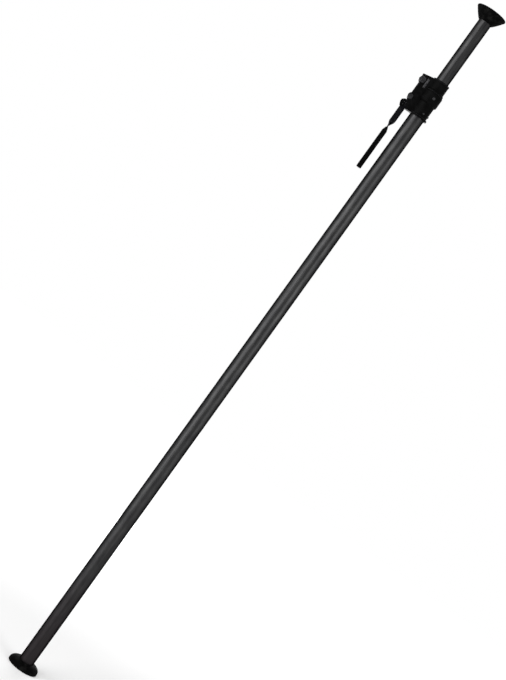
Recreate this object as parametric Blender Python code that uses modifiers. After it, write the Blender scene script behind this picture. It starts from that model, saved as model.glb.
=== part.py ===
"""Telescopic floor-to-ceiling pole with a lever clamp, upright, foot on z = 0, at its real size.

A wide lower tube stands on a rubber foot. A narrower mast slides out of it through a cast clamp
and ends in a rubber head that presses on the ceiling. Inside the clamp a cage holds a canted
steel plate that grips the mast. A cam on the long lever lifts the cage and so jams the pole.

All sizes are in metres. The pole's axis is +Z, and the lever hangs on its -X side.
"""

import math
from typing import NamedTuple

import bmesh
import bpy
from mathutils import Matrix, Vector

MM = 0.001

# General clearances and fineness
GAP = 0.3 * MM
CUT_OVERRUN = 1.0 * MM
ROUND_STEPS = 32
SMALL_STEPS = 16
TINY_STEPS = 10
HUB_STEPS = 6
TWIST_STEPS = 8
WELD = 0.01 * MM
FLARE_STEPS = 6
SHARP_ANGLE = math.radians(30.0)

# Shares of a screw's own sizes: how much of its head is bevelled, and of its shank is tapered
SCREW_HEAD_BEVEL = 0.35
SCREW_TIP_TAPER = 0.4

# Tubes
INNER_TUBE_RADIUS = 19.5 * MM
TUBE_WALL = 2.0 * MM
TUBE_PLAY = 1.0 * MM
LOWER_TUBE_LENGTH = 1927.7 * MM
CLOSED_NECK = 53.5 * MM
MAST_DRAW = 150.0 * MM
INNER_TUBE_BORE = INNER_TUBE_RADIUS - TUBE_WALL
LOWER_TUBE_BORE = INNER_TUBE_RADIUS + TUBE_PLAY
LOWER_TUBE_RADIUS = LOWER_TUBE_BORE + TUBE_WALL

# Screws that hold the rubber ends
END_SCREW_RADIUS = 3.0 * MM
END_SCREW_HEAD_RADIUS = 5.2 * MM
END_SCREW_HEAD_HEIGHT = 3.4 * MM
END_SCREW_KEY_RADIUS = 2.6 * MM
END_SCREW_KEY_DEPTH = 2.0 * MM
END_WASHER_RADIUS = 9.0 * MM
END_WASHER_THICK = 1.3 * MM
END_WEB = 3.0 * MM
END_HOLE_PLAY = 1.3 * MM
END_DISH_STEP = 2.0 * MM
END_DISH_SHARE = 0.8

# Rubber foot
FOOT_RADIUS = 46.8 * MM
FOOT_HEIGHT = 21.5 * MM
FOOT_HOLLOW = 7.0 * MM
FOOT_LIP = 1.6 * MM
FOOT_RIM_HEIGHT = 5.5 * MM
FOOT_RIM_CHAMFER = 1.5 * MM
FOOT_CONTACT = 7.5 * MM
FOOT_DOME_POWER = 2.0
FOOT_HUB_RADIUS = 14.0 * MM

# Rubber head
HEAD_RADIUS = 45.8 * MM
HEAD_HEIGHT = 33.0 * MM
HEAD_HOLLOW = 7.0 * MM
HEAD_LIP = 1.5 * MM
HEAD_RIM_HEIGHT = 3.5 * MM
HEAD_RIM_CHAMFER = 1.2 * MM
HEAD_CONTACT = 6.5 * MM
HEAD_FLARE_POWER = 1.15
HEAD_HUB_RADIUS = 14.0 * MM

# Plastic plugs in the tube ends
PLUG_HEIGHT = 30.0 * MM
PLUG_WALL = 3.0 * MM
PLUG_FLOOR = 6.0 * MM
PLUG_BOSS_RADIUS = 8.0 * MM
PLUG_BOSS_HEIGHT = 24.0 * MM
SLIDER_FLANGE = 12.0 * MM
SLIDER_SPIGOT = 25.0 * MM
SLIDER_BORE = 12.0 * MM
SLIDER_RIVET_RADIUS = 1.9 * MM
SLIDER_RIVET_DEPTH = 3.2 * MM
SLIDER_FLOOR_ROOM = 15.0 * MM

# Clamp, up its height
SLEEVE_WALL = 2.7 * MM
SLEEVE_GRIP = 42.0 * MM
FLANGE_WIDTH = 3.8 * MM
FLANGE_HEIGHT = 5.0 * MM
FLANGE_SLOPE = 1.5 * MM
FLANGE_CHAMFER = 1.0 * MM
SHOULDER_THICK = 3.0 * MM
SHOULDER_BORE = INNER_TUBE_RADIUS + 0.9 * MM
LIFT = 8.0 * MM
CAGE_ROOM = 0.7 * MM
CHAMBER_RADIUS = INNER_TUBE_RADIUS + 7.1 * MM
CHAMBER_WALL = 2.7 * MM
BULGE_CHAMFER = 1.7 * MM
CAP_WALL = 2.2 * MM
CAP_HEIGHT = 32.9 * MM
CAP_CHAMFER = 0.6 * MM
CAP_RIM_HEIGHT = 2.7 * MM
CAP_SLOPE_HEIGHT = 4.3 * MM

# Lift cage
CAGE_RADIUS = CHAMBER_RADIUS - 0.4 * MM
CAGE_WALL = 1.7 * MM
CAGE_LIP = 1.2 * MM
CAGE_LIP_PLAY = 1.3 * MM
CAGE_RING = 4.0 * MM
CAGE_WALL_HEIGHT = 23.0 * MM
LID_SPIGOT = 2.0 * MM
LID_THICK = 3.0 * MM
LID_PLAY = 0.8 * MM
TURN_RING_WIDTH = 2.7 * MM
FULCRUM_RISE = 3.0 * MM
FULCRUM_HALF = 5.0 * MM
CAGE_WINDOW = 14.0 * MM

# Jam plate
PLATE_THICK = 3.5 * MM
PLATE_CANT = math.radians(3.0)
PLATE_PLAY = 0.35 * MM
PLATE_TAIL_HALF = 6.0 * MM
PLATE_TAIL_RISE = 31.5 * MM
PLATE_TAIL_THICK = 3.0 * MM
PLATE_TAIL_PLAY = 3.9 * MM
RISER_STANDOFF = 1.8 * MM

# Springs: wire, turns, and how far the end turns are drawn together
JAM_SPRING_WIRE = 0.7 * MM
JAM_SPRING_PLAY = 1.3 * MM
JAM_SPRING_TURNS = 3.0
JAM_SPRING_CLOSING = 0.5
TRIGGER_SPRING_WIRE = 0.4 * MM
TRIGGER_SPRING_TURNS = 3.0
CATCH_SPRING_WIRE = 0.3 * MM
CATCH_SPRING_TURNS = 1.5
SPRING_POINTS_PER_TURN = 10

# Lever and cam
LEVER_STANDOFF = 24.0 * MM
LEVER_SWING = math.radians(110.0)
LEVER_PIN_RADIUS = 4.0 * MM
LEVER_PIN_HEAD = 6.2 * MM
LEVER_PIN_HEAD_THICK = 2.4 * MM
CLIP_THICK = 1.2 * MM
CLIP_RADIUS = 5.8 * MM
PIN_CHAMFER = 0.6 * MM
PIN_STICK_OUT = 1.3 * MM
CAM_RISE = 15.5 * MM
CAM_THICK = 3.0 * MM
CAM_HEEL_RADIUS = 8.3 * MM
CAM_TAIL = 24.0 * MM
CAM_TAIL_HALF = 7.4 * MM
CAM_TAIL_CHAMFER = 3.0 * MM
CAM_OVERTURN = math.radians(4.0)
CAM_STEPS = 14
CAM_ROOM = 1.2 * MM
NECK_LEFT = 4.4 * MM
NECK_TOP = 7.0 * MM
NECK_BOTTOM = 15.0 * MM
NECK_SLOPE = 3.0 * MM
NOTCH_RISE = 1.2
NOTCH_FALL = 0.6
HUB_RADIUS = 6.9 * MM
HUB_CROWN = math.radians(87.3)
CAM_RIVET_RADIUS = 1.4 * MM
CAM_RIVET_DROPS = {"upper": 12.5 * MM, "lower": 19.5 * MM}
PAD_THICK = 2.9 * MM
PAD_HALF = 4.6 * MM
PAD_SKIN = 0.8 * MM
PAD_SCREW_RADIUS = 1.4 * MM
PAD_SCREW_HEAD = 2.8 * MM
PAD_SCREW_HEAD_THICK = 1.8 * MM
BLADE_THICK = 4.0 * MM
BLADE_HALF = 8.6 * MM
BLADE_OFFSET = -0.8 * MM
BLADE_FLAT_LENGTH = 76.0 * MM
BLADE_TWIST_LENGTH = 25.0 * MM
TANG_HALF = 6.5 * MM
GRIP_SET_OUT = 2.0 * MM
GRIP_LENGTH = 136.0 * MM
GRIP_TAPER = 12.0 * MM
GRIP_NECK = 4.0 * MM
GRIP_HALF_THICK = 7.3 * MM
GRIP_HALF_WIDE = 11.0 * MM
GRIP_MOUTH_HALF = 3.4 * MM
GRIP_END_WALL = 8.0 * MM
GRIP_RIVET_RADIUS = 1.6 * MM
GRIP_RIVET_DROP = 12.0 * MM
GRIP_MOUTH_WALL = 1.6 * MM
GRIP_ROUND = 3.0 * MM

# Safety catch on the lever
CATCH_BELOW_CAM = 4.0 * MM
CATCH_OUT = 5.5 * MM
CATCH_PIN_RADIUS = 1.5 * MM
CATCH_CHEEK = 2.0 * MM
CATCH_WEB = 3.2 * MM
CATCH_REACH = 10.3 * MM
CATCH_BACK = 4.6 * MM
CATCH_LOW = 6.2 * MM
CATCH_HIGH = 16.6 * MM

# Cast tower that carries the lever
TOWER_HALF = 13.0 * MM
TOWER_LEDGE = 4.2 * MM
TOWER_WALL = 2.8 * MM
TOWER_CORNER_RADIUS = 3.5 * MM
TOWER_CUT_WIDE = 12.9 * MM
TOWER_CUT_HIGH = 25.0 * MM
TOWER_CUT_ROOM = 1.0 * MM
SLOT_STEP = 1.5 * MM
POCKET_ROOM = 0.4 * MM
LEVER_KNUCKLE_RADIUS = 8.0 * MM
LEVER_KNUCKLE_PROUD = 2.0 * MM

# Release trigger
TRIGGER_RISE = 12.0 * MM
TRIGGER_KNUCKLE_RADIUS = 9.3 * MM
TRIGGER_CHEEK = 8.5 * MM
TRIGGER_HALF = 7.0 * MM
TRIGGER_PIN_RADIUS = 2.5 * MM
TRIGGER_PIN_HEAD = 4.4 * MM
TRIGGER_PIN_HEAD_THICK = 1.8 * MM
TOE_PLAY = 0.7 * MM
TOE_REACH = 4.1 * MM
TOE_THICK = 4.5 * MM
THUMB_LIP = 1.3 * MM
TRIGGER_HUB_RADIUS = 6.2 * MM
TRIGGER_SPRING_ROOM = 5.2 * MM
TRIGGER_SPRING_WIDTH = 2.2 * MM
HOOD_OVERHANG = 3.3 * MM
HOOD_HEIGHT = 4.7 * MM
HOOD_ROOM = 1.0 * MM

# Guide bush, screws and rivets of the clamp
BUSH_WALL = 2.5 * MM
BUSH_FLANGE_WIDTH = 3.1 * MM
BUSH_FLANGE_THICK = 3.0 * MM
BUSH_CHAMFER = 0.6 * MM
BUSH_RISE = 3.7 * MM
GUIDE_SCREW_RADIUS = 2.0 * MM
GUIDE_SCREW_HEAD = 4.5 * MM
GUIDE_SCREW_HEAD_THICK = 2.2 * MM
GUIDE_SPOTFACE = 0.8 * MM
GUIDE_SCREW_RISE = 5.0 * MM
GUIDE_SCREW_SLIT = 1.0 * MM
GUIDE_SCREW_SLIT_DEPTH = 0.9 * MM
GUIDE_SCREW_ENTRY = 0.7
GUIDE_SCREW_ANGLES = {"front": math.radians(-74.0), "rear": math.radians(74.0)}
GUIDE_SLOT_MARGIN = 0.5 * MM
TUBE_RIVET_RADIUS = 1.7 * MM
TUBE_RIVET_HEAD = 3.2 * MM
TUBE_RIVET_ANGLES = {
    "front": math.radians(-68.0),
    "side": math.radians(0.0),
    "rear": math.radians(68.0),
}
TUBE_RIVET_RISE = 16.0 * MM
CAP_SCREW_RADIUS = 1.2 * MM
CAP_SCREW_HEAD = 2.0 * MM
CAP_SCREW_HEAD_THICK = 1.8 * MM
CAP_SCREW_GRIP = 14.0 * MM
CAP_SCREW_SINK = 2.0 * MM
CAP_SCREW_TIP_ROOM = 1.5 * MM
CAP_SCREW_OUT = 9.0 * MM
CAP_SCREW_KEY_RADIUS = 1.0 * MM
CAP_SCREW_KEY_DEPTH = 1.0 * MM

# Levels, worked out from the sizes above
FOOT_FLOOR = FOOT_HOLLOW + END_WEB
LOWER_TUBE_FOOT = FOOT_FLOOR + GAP
LOWER_TUBE_TOP = LOWER_TUBE_FOOT + LOWER_TUBE_LENGTH
FOOT_PLUG_TOP = LOWER_TUBE_FOOT + PLUG_HEIGHT
CLAMP_BOTTOM = LOWER_TUBE_TOP - SLEEVE_GRIP
SHOULDER_BOTTOM = LOWER_TUBE_TOP + GAP
CHAMBER_FLOOR = SHOULDER_BOTTOM + SHOULDER_THICK
CAGE_BOTTOM = CHAMBER_FLOOR + LIFT + CAGE_ROOM
CAGE_WALL_TOP = CAGE_BOTTOM + CAGE_WALL_HEIGHT
CAGE_TOP = CAGE_WALL_TOP + GAP + LID_THICK
SPLIT = CAGE_TOP + CAGE_ROOM
CAP_BOTTOM = SPLIT + GAP
CAP_TOP = CAP_BOTTOM + CAP_HEIGHT
CLAMP_TOP = CAP_TOP + GAP + BUSH_FLANGE_THICK
HEAD_NECK = CLAMP_TOP + CLOSED_NECK + MAST_DRAW
HEAD_TOP = HEAD_NECK + HEAD_HEIGHT
HEAD_FLOOR = HEAD_TOP - HEAD_HOLLOW - END_WEB
INNER_TUBE_TOP = HEAD_FLOOR - GAP
INNER_TUBE_FOOT = FOOT_PLUG_TOP + SLIDER_FLOOR_ROOM + SLIDER_FLANGE + GAP + MAST_DRAW

# Axes of the moving pieces
SLEEVE_RADIUS = LOWER_TUBE_RADIUS + SLEEVE_WALL
LEVER_X = -(SLEEVE_RADIUS + LEVER_STANDOFF)
LEVER_Z = CAGE_BOTTOM - GAP - PAD_THICK - GAP - CAM_RISE
LEVER_PIVOT = Vector((LEVER_X, 0.0, LEVER_Z))
TRIGGER_PIVOT = Vector((LEVER_X, 0.0, SPLIT + TRIGGER_RISE))
CATCH_PIVOT = LEVER_PIVOT + Vector((-CATCH_OUT, 0.0, -CAM_TAIL - CATCH_BELOW_CAM))
PLATE_RADIUS = CAGE_RADIUS - CAGE_WALL - 0.5 * MM
PLATE_PIVOT = Vector((PLATE_RADIUS - 0.8 * MM, 0.0, CAGE_BOTTOM + CAGE_RING + FULCRUM_RISE + GAP))
CAM_PITCH = LIFT / LEVER_SWING
TOWER_LEFT = LEVER_X - TOWER_LEDGE
LEVER_KNUCKLE_HALF = TOWER_HALF + LEVER_KNUCKLE_PROUD
TRIGGER_KNUCKLE_HALF = TRIGGER_HALF + TRIGGER_CHEEK
ARM_HALF = TRIGGER_HALF
POCKET_HALF = TRIGGER_HALF + POCKET_ROOM
SLOT_HALF = BLADE_THICK / 2 + GAP + CAM_THICK + GAP
BULGE_RADIUS = CHAMBER_RADIUS + CHAMBER_WALL
CAP_RADIUS = INNER_TUBE_RADIUS + GAP + BUSH_WALL + GAP + CAP_WALL

COLOURS = {
    "anodised_tube": ((0.030, 0.030, 0.032, 1.0), 0.38, 0.9),
    "rubber": ((0.008, 0.008, 0.008, 1.0), 0.75, 0.0),
    "cast_black": ((0.012, 0.012, 0.013, 1.0), 0.45, 0.3),
    "nylon": ((0.010, 0.010, 0.011, 1.0), 0.55, 0.0),
    "black_steel": ((0.025, 0.025, 0.027, 1.0), 0.40, 0.8),
    "spring_steel": ((0.30, 0.30, 0.31, 1.0), 0.35, 1.0),
    "grip_plastic": ((0.008, 0.008, 0.009, 1.0), 0.50, 0.0),
}


def clear_scene():
    """Removes every object that the file opened with."""
    for obj in list(bpy.data.objects):
        bpy.data.objects.remove(obj, do_unlink=True)


def new_collection(name):
    """A new collection under the scene's own."""
    collection = bpy.data.collections.new(name)
    bpy.context.scene.collection.children.link(collection)
    return collection


def make_materials():
    """One Principled material for each finish."""
    made = {}
    for name, (colour, roughness, metallic) in COLOURS.items():
        material = bpy.data.materials.new(name)
        material.use_nodes = True
        shader = material.node_tree.nodes["Principled BSDF"]
        shader.inputs["Base Color"].default_value = colour
        shader.inputs["Roughness"].default_value = roughness
        shader.inputs["Metallic"].default_value = metallic
        made[name] = material
    return made


class Shape(NamedTuple):
    """A closed mesh drawn about its own middle, and the matrix that puts it in its place."""

    mesh: bpy.types.Mesh
    place: Matrix


def link(name, shape, collection, parent=None):
    """An object of this shape in a collection, in its place, and parented without moving it."""
    obj = bpy.data.objects.new(name, shape.mesh)
    collection.objects.link(obj)
    obj.matrix_world = shape.place
    if parent is not None:
        obj.parent = parent
        obj.matrix_parent_inverse = parent.matrix_world.inverted()
    return obj


def axis_empty(name, place, parent=None):
    """An empty on a joint's axis, which carries the pieces that move about it."""
    empty = bpy.data.objects.new(name, None)
    PARTS.objects.link(empty)
    if parent is None:
        empty.location = place
    else:
        empty.parent = parent
        empty.location = place - parent.matrix_world.translation
    bpy.context.view_layer.update()
    return empty


def mesh_of(obj):
    """The evaluated mesh of an object that is then removed, its loose caps welded."""
    bpy.context.view_layer.update()
    graph = bpy.context.evaluated_depsgraph_get()
    mesh = bpy.data.meshes.new_from_object(obj.evaluated_get(graph))
    bpy.data.objects.remove(obj, do_unlink=True)
    form = bmesh.new()
    form.from_mesh(mesh)
    bmesh.ops.remove_doubles(form, verts=form.verts, dist=WELD)
    bmesh.ops.recalc_face_normals(form, faces=form.faces)
    form.to_mesh(mesh)
    form.free()
    return mesh


def shape_of(form, place):
    """The shape of a bmesh, which is then freed."""
    mesh = bpy.data.meshes.new("shape")
    form.to_mesh(mesh)
    form.free()
    return Shape(mesh, place)


def middle_of(values):
    """Halfway between the least and the greatest."""
    return (min(values) + max(values)) / 2


def turned(profile, steps=ROUND_STEPS, closed=True):
    """A profile of (radius, height) points turned about Z. It runs down its outer side."""
    level = middle_of([height for _, height in profile])
    mesh = bpy.data.meshes.new("profile")
    points = [(radius, 0.0, height - level) for radius, height in profile]
    edges = [(i, i + 1) for i in range(len(points) - 1)]
    if closed:
        edges.append((len(points) - 1, 0))
    mesh.from_pydata(points, edges, [])
    obj = bpy.data.objects.new("turned", mesh)
    PARTS.objects.link(obj)
    screw = obj.modifiers.new("Turn", "SCREW")
    screw.axis = "Z"
    screw.angle = math.tau
    screw.steps = steps
    screw.render_steps = steps
    screw.use_merge_vertices = True
    screw.merge_threshold = WELD
    return Shape(mesh_of(obj), Matrix.Translation((0.0, 0.0, level)))


def extruded(outline, thick):
    """The mesh of a flat outline in x and y, half its thickness above and half below z = 0."""
    curve = bpy.data.curves.new("outline", "CURVE")
    curve.dimensions = "2D"
    curve.fill_mode = "BOTH"
    curve.extrude = thick / 2
    spline = curve.splines.new("POLY")
    spline.points.add(len(outline) - 1)
    for point, (across, up) in zip(spline.points, outline):
        point.co = (across, up, 0.0, 1.0)
    spline.use_cyclic_u = True
    obj = bpy.data.objects.new("outline", curve)
    PARTS.objects.link(obj)
    return mesh_of(obj)


def side_block(outline, low, high):
    """A side view of (x, z) points, thick from y = low to y = high."""
    x, z = (middle_of(values) for values in zip(*outline))
    mesh = extruded([(point[0] - x, point[1] - z) for point in outline], high - low)
    upright = Matrix.Rotation(math.radians(90.0), 4, "X")
    return Shape(mesh, Matrix.Translation((x, (low + high) / 2, z)) @ upright)


def plan_block(outline, low, high):
    """A plan view of (x, y) points, standing from z = low to z = high."""
    x, y = (middle_of(values) for values in zip(*outline))
    mesh = extruded([(point[0] - x, point[1] - y) for point in outline], high - low)
    return Shape(mesh, Matrix.Translation((x, y, (low + high) / 2)))


def box(low, high):
    """A box between two corners."""
    form = bmesh.new()
    bmesh.ops.create_cube(form, size=1.0)
    bmesh.ops.scale(form, vec=Vector(high) - Vector(low), verts=form.verts)
    return shape_of(form, Matrix.Translation((Vector(high) + Vector(low)) / 2))


def rod(radius, start, end, steps=SMALL_STEPS):
    """A plain round rod between two points."""
    form = bmesh.new()
    start, end = Vector(start), Vector(end)
    along = end - start
    bmesh.ops.create_cone(
        form, cap_ends=True, segments=steps, radius1=radius, radius2=radius, depth=along.length
    )
    return shape_of(form, aimed(along, (start + end) / 2))


def cross_rod(radius, pivot, half, steps=SMALL_STEPS):
    """A rod along Y, centred on a pivot."""
    reach = Vector((0.0, half, 0.0))
    return rod(radius, pivot - reach, pivot + reach, steps)


def radial_rod(radius, angle, level, near, far, steps=TINY_STEPS):
    """A rod that points away from the pole's axis at a height, between two distances from it."""
    out, height = radial(angle), Vector((0.0, 0.0, level))
    return rod(radius, height + out * near, height + out * far, steps)


def upright_rod(radius, place, low, high, steps=TINY_STEPS):
    """A rod along Z over a plan position, between two heights."""
    return rod(radius, (place.x, place.y, low), (place.x, place.y, high), steps)


def wire(points, radius):
    """A round wire along points, with closed ends."""
    start = points[0]
    curve = bpy.data.curves.new("wire", "CURVE")
    curve.dimensions = "3D"
    curve.bevel_depth = radius
    curve.bevel_resolution = 1
    curve.use_fill_caps = True
    spline = curve.splines.new("POLY")
    spline.points.add(len(points) - 1)
    for point, place in zip(spline.points, points):
        point.co = (*(place - start), 1.0)
    obj = bpy.data.objects.new("wire", curve)
    PARTS.objects.link(obj)
    return Shape(mesh_of(obj), Matrix.Translation(start))


def radial(angle):
    """Unit vector away from the pole's axis at an angle from +X."""
    return Vector((math.cos(angle), math.sin(angle), 0.0))


def aimed(direction, place):
    """The matrix that takes +Z to a direction, and the origin to a place."""
    turn = Vector(direction).to_track_quat("Z", "Y").to_matrix().to_4x4()
    return Matrix.Translation(place) @ turn


def moved(shape, matrix):
    """The same shape, moved by a matrix."""
    return Shape(shape.mesh, matrix @ shape.place)


def combine(obj, operation, shapes):
    """Joins or cuts an object with shapes, in order, by Boolean modifiers."""
    for shape in shapes:
        tool = link(f"{obj.name}_{operation.lower()}", shape, CUTTERS)
        tool.hide_render = True
        tool.display_type = "WIRE"
        modifier = obj.modifiers.new(operation.title(), "BOOLEAN")
        modifier.operation = operation
        modifier.solver = "EXACT"
        modifier.object = tool


def cut(obj, *shapes):
    """Cuts shapes out of an object."""
    combine(obj, "DIFFERENCE", shapes)


def join(obj, *shapes):
    """Joins shapes to an object as one body."""
    combine(obj, "UNION", shapes)


def part(name, shape, finish, parent=None):
    """A named piece of the pole, of one finish, which moves with its parent."""
    mesh = shape.mesh.copy()
    mesh.name = name
    mesh.materials.append(MATERIALS[finish])
    mesh.shade_smooth()
    mesh.set_sharp_from_angle(angle=SHARP_ANGLE)
    return link(name, Shape(mesh, shape.place), PARTS, parent)


def arc(centre, radius, start, end, steps):
    """Points of a circular arc, in (x, z), from one angle to another."""
    angles = [start + (end - start) * i / steps for i in range(steps + 1)]
    return [(centre[0] + radius * math.cos(a), centre[1] + radius * math.sin(a)) for a in angles]


def screw_profile(shank_radius, shank_length, head_radius, head_height):
    """Half outline of a round-headed screw, its head's underside at height 0 and its shank below."""
    edge = head_height * SCREW_HEAD_BEVEL
    return [
        (0.0, head_height),
        (head_radius - edge, head_height),
        (head_radius, head_height - edge),
        (head_radius, 0.0),
        (shank_radius, 0.0),
        (shank_radius, -shank_length + shank_radius * SCREW_TIP_TAPER),
        (shank_radius * (1 - SCREW_TIP_TAPER), -shank_length),
        (0.0, -shank_length),
    ]


def rubber_end_profile(radius, height, rim, rim_chamfer, contact, hollow, hub, socket, lip, power, bulged):
    """Outline of a rubber end: contact ring at height 0, flare, socket for the tube and dished face."""
    lip_radius = socket + lip
    flare = []
    for i in range(FLARE_STEPS + 1):
        share = i / FLARE_STEPS
        if bulged:
            rise = (1 - share**power) ** (1 / power)
        else:
            rise = 1 - share**power
        flare.append((lip_radius + (radius - lip_radius) * share, rim + (height - rim) * rise))
    ring = radius - rim_chamfer - contact
    face = [
        (radius - rim_chamfer, 0.0),
        (ring, 0.0),
        (ring - END_DISH_STEP, hollow / 3),
        ((ring + hub) / 2, hollow * END_DISH_SHARE),
        (hub, hollow),
        (END_SCREW_RADIUS + END_HOLE_PLAY, hollow),
        (END_SCREW_RADIUS + END_HOLE_PLAY, hollow + END_WEB),
    ]
    return flare + [(radius, rim_chamfer)] + face + [(socket, hollow + END_WEB), (socket, height)]


def end_plug_profile(outer, floor):
    """Outline of a hollow plug in a tube end, with a screw boss, standing on a floor height."""
    inner = outer - PLUG_WALL
    bore = END_SCREW_RADIUS + GAP
    return [
        (outer, floor + PLUG_HEIGHT),
        (outer, floor),
        (bore, floor),
        (bore, floor + PLUG_BOSS_HEIGHT),
        (PLUG_BOSS_RADIUS, floor + PLUG_BOSS_HEIGHT),
        (PLUG_BOSS_RADIUS, floor + PLUG_FLOOR),
        (inner, floor + PLUG_FLOOR),
        (inner, floor + PLUG_HEIGHT),
    ]


def end_screw():
    """Socket screw of a rubber end: head's underside at height 0, head below, shank above."""
    length = END_WASHER_THICK + GAP + END_WEB + PLUG_BOSS_HEIGHT
    profile = screw_profile(END_SCREW_RADIUS, length, END_SCREW_HEAD_RADIUS, END_SCREW_HEAD_HEIGHT)
    return turned(profile, SMALL_STEPS, closed=False)


def end_fasteners(prefix, hollow, flip, parent):
    """The washer and screw in the dished face of a rubber end."""
    washer_top = hollow - GAP
    washer_low = washer_top - END_WASHER_THICK
    bore = END_SCREW_RADIUS + GAP
    washer = turned(
        [
            (END_WASHER_RADIUS, washer_top),
            (END_WASHER_RADIUS, washer_low),
            (bore, washer_low),
            (bore, washer_top),
        ],
        SMALL_STEPS,
    )
    part(f"{prefix}_washer", moved(washer, flip), "black_steel", parent)
    seat = Matrix.Translation((0.0, 0.0, washer_low - GAP)) @ Matrix.Rotation(math.pi, 4, "X")
    screw = part(f"{prefix}_screw", moved(end_screw(), flip @ seat), "black_steel", parent)
    face = END_SCREW_HEAD_HEIGHT
    key = rod(
        END_SCREW_KEY_RADIUS,
        (0.0, 0.0, face - END_SCREW_KEY_DEPTH),
        (0.0, 0.0, face + CUT_OVERRUN),
        steps=6,
    )
    cut(screw, moved(key, flip @ seat))


def build_foot():
    """Rubber foot, its plug in the lower tube, and its washer and screw."""
    profile = rubber_end_profile(
        FOOT_RADIUS, FOOT_HEIGHT, FOOT_RIM_HEIGHT, FOOT_RIM_CHAMFER, FOOT_CONTACT,
        FOOT_HOLLOW, FOOT_HUB_RADIUS, LOWER_TUBE_RADIUS + GAP, FOOT_LIP, FOOT_DOME_POWER, True,
    )  # fmt: skip
    part("foot_cup", turned(profile), "rubber")
    plug = end_plug_profile(LOWER_TUBE_BORE - GAP, LOWER_TUBE_FOOT)
    part("foot_plug", turned(plug), "nylon")
    end_fasteners("foot", FOOT_HOLLOW, Matrix.Identity(4), None)


def tube_profile(outer, bore, low, high):
    """Outline of a plain tube."""
    return [(outer, high), (outer, low), (bore, low), (bore, high)]


def build_lower_tube():
    """Lower tube, drilled for the rivets that hold the clamp."""
    profile = tube_profile(LOWER_TUBE_RADIUS, LOWER_TUBE_BORE, LOWER_TUBE_FOOT, LOWER_TUBE_TOP)
    tube = part("lower_tube", turned(profile), "anodised_tube")
    cut(tube, *rivet_holes())


def rivet_holes():
    """Drilled holes for the tube rivets, through sleeve and tube wall."""
    level = CLAMP_BOTTOM + TUBE_RIVET_RISE
    near, far = LOWER_TUBE_BORE - CUT_OVERRUN, SLEEVE_RADIUS + CUT_OVERRUN
    angles = TUBE_RIVET_ANGLES.values()
    return [radial_rod(TUBE_RIVET_RADIUS + GAP, angle, level, near, far) for angle in angles]


def build_tube_rivets():
    """Round-headed rivets that hold the clamp's sleeve to the lower tube."""
    length = SLEEVE_WALL + GAP + TUBE_WALL
    shape = turned(
        screw_profile(TUBE_RIVET_RADIUS, length, TUBE_RIVET_HEAD, TUBE_RIVET_RADIUS),
        TINY_STEPS,
        closed=False,
    )
    for name, angle in TUBE_RIVET_ANGLES.items():
        out = radial(angle)
        seat = out * (SLEEVE_RADIUS + GAP) + Vector((0.0, 0.0, CLAMP_BOTTOM + TUBE_RIVET_RISE))
        part(f"tube_rivet_{name}", moved(shape, aimed(out, seat)), "black_steel")


def tower_outline(low_corner):
    """Plan of the tower: a block beside the tube with its two outer corners rounded, in (x, y)."""
    radius = TOWER_CORNER_RADIUS
    inner = TOWER_HALF - radius
    left = low_corner + radius
    top = arc((left, inner), radius, math.radians(90), math.radians(180), 4)
    bottom = arc((left, -inner), radius, math.radians(180), math.radians(270), 4)
    return [(0.0, TOWER_HALF)] + top + bottom + [(0.0, -TOWER_HALF)]


def guide_screw_level():
    """Height of the screws that guide the cage."""
    return CAGE_BOTTOM + CAGE_RING + GUIDE_SCREW_RADIUS + GUIDE_SCREW_RISE


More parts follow.
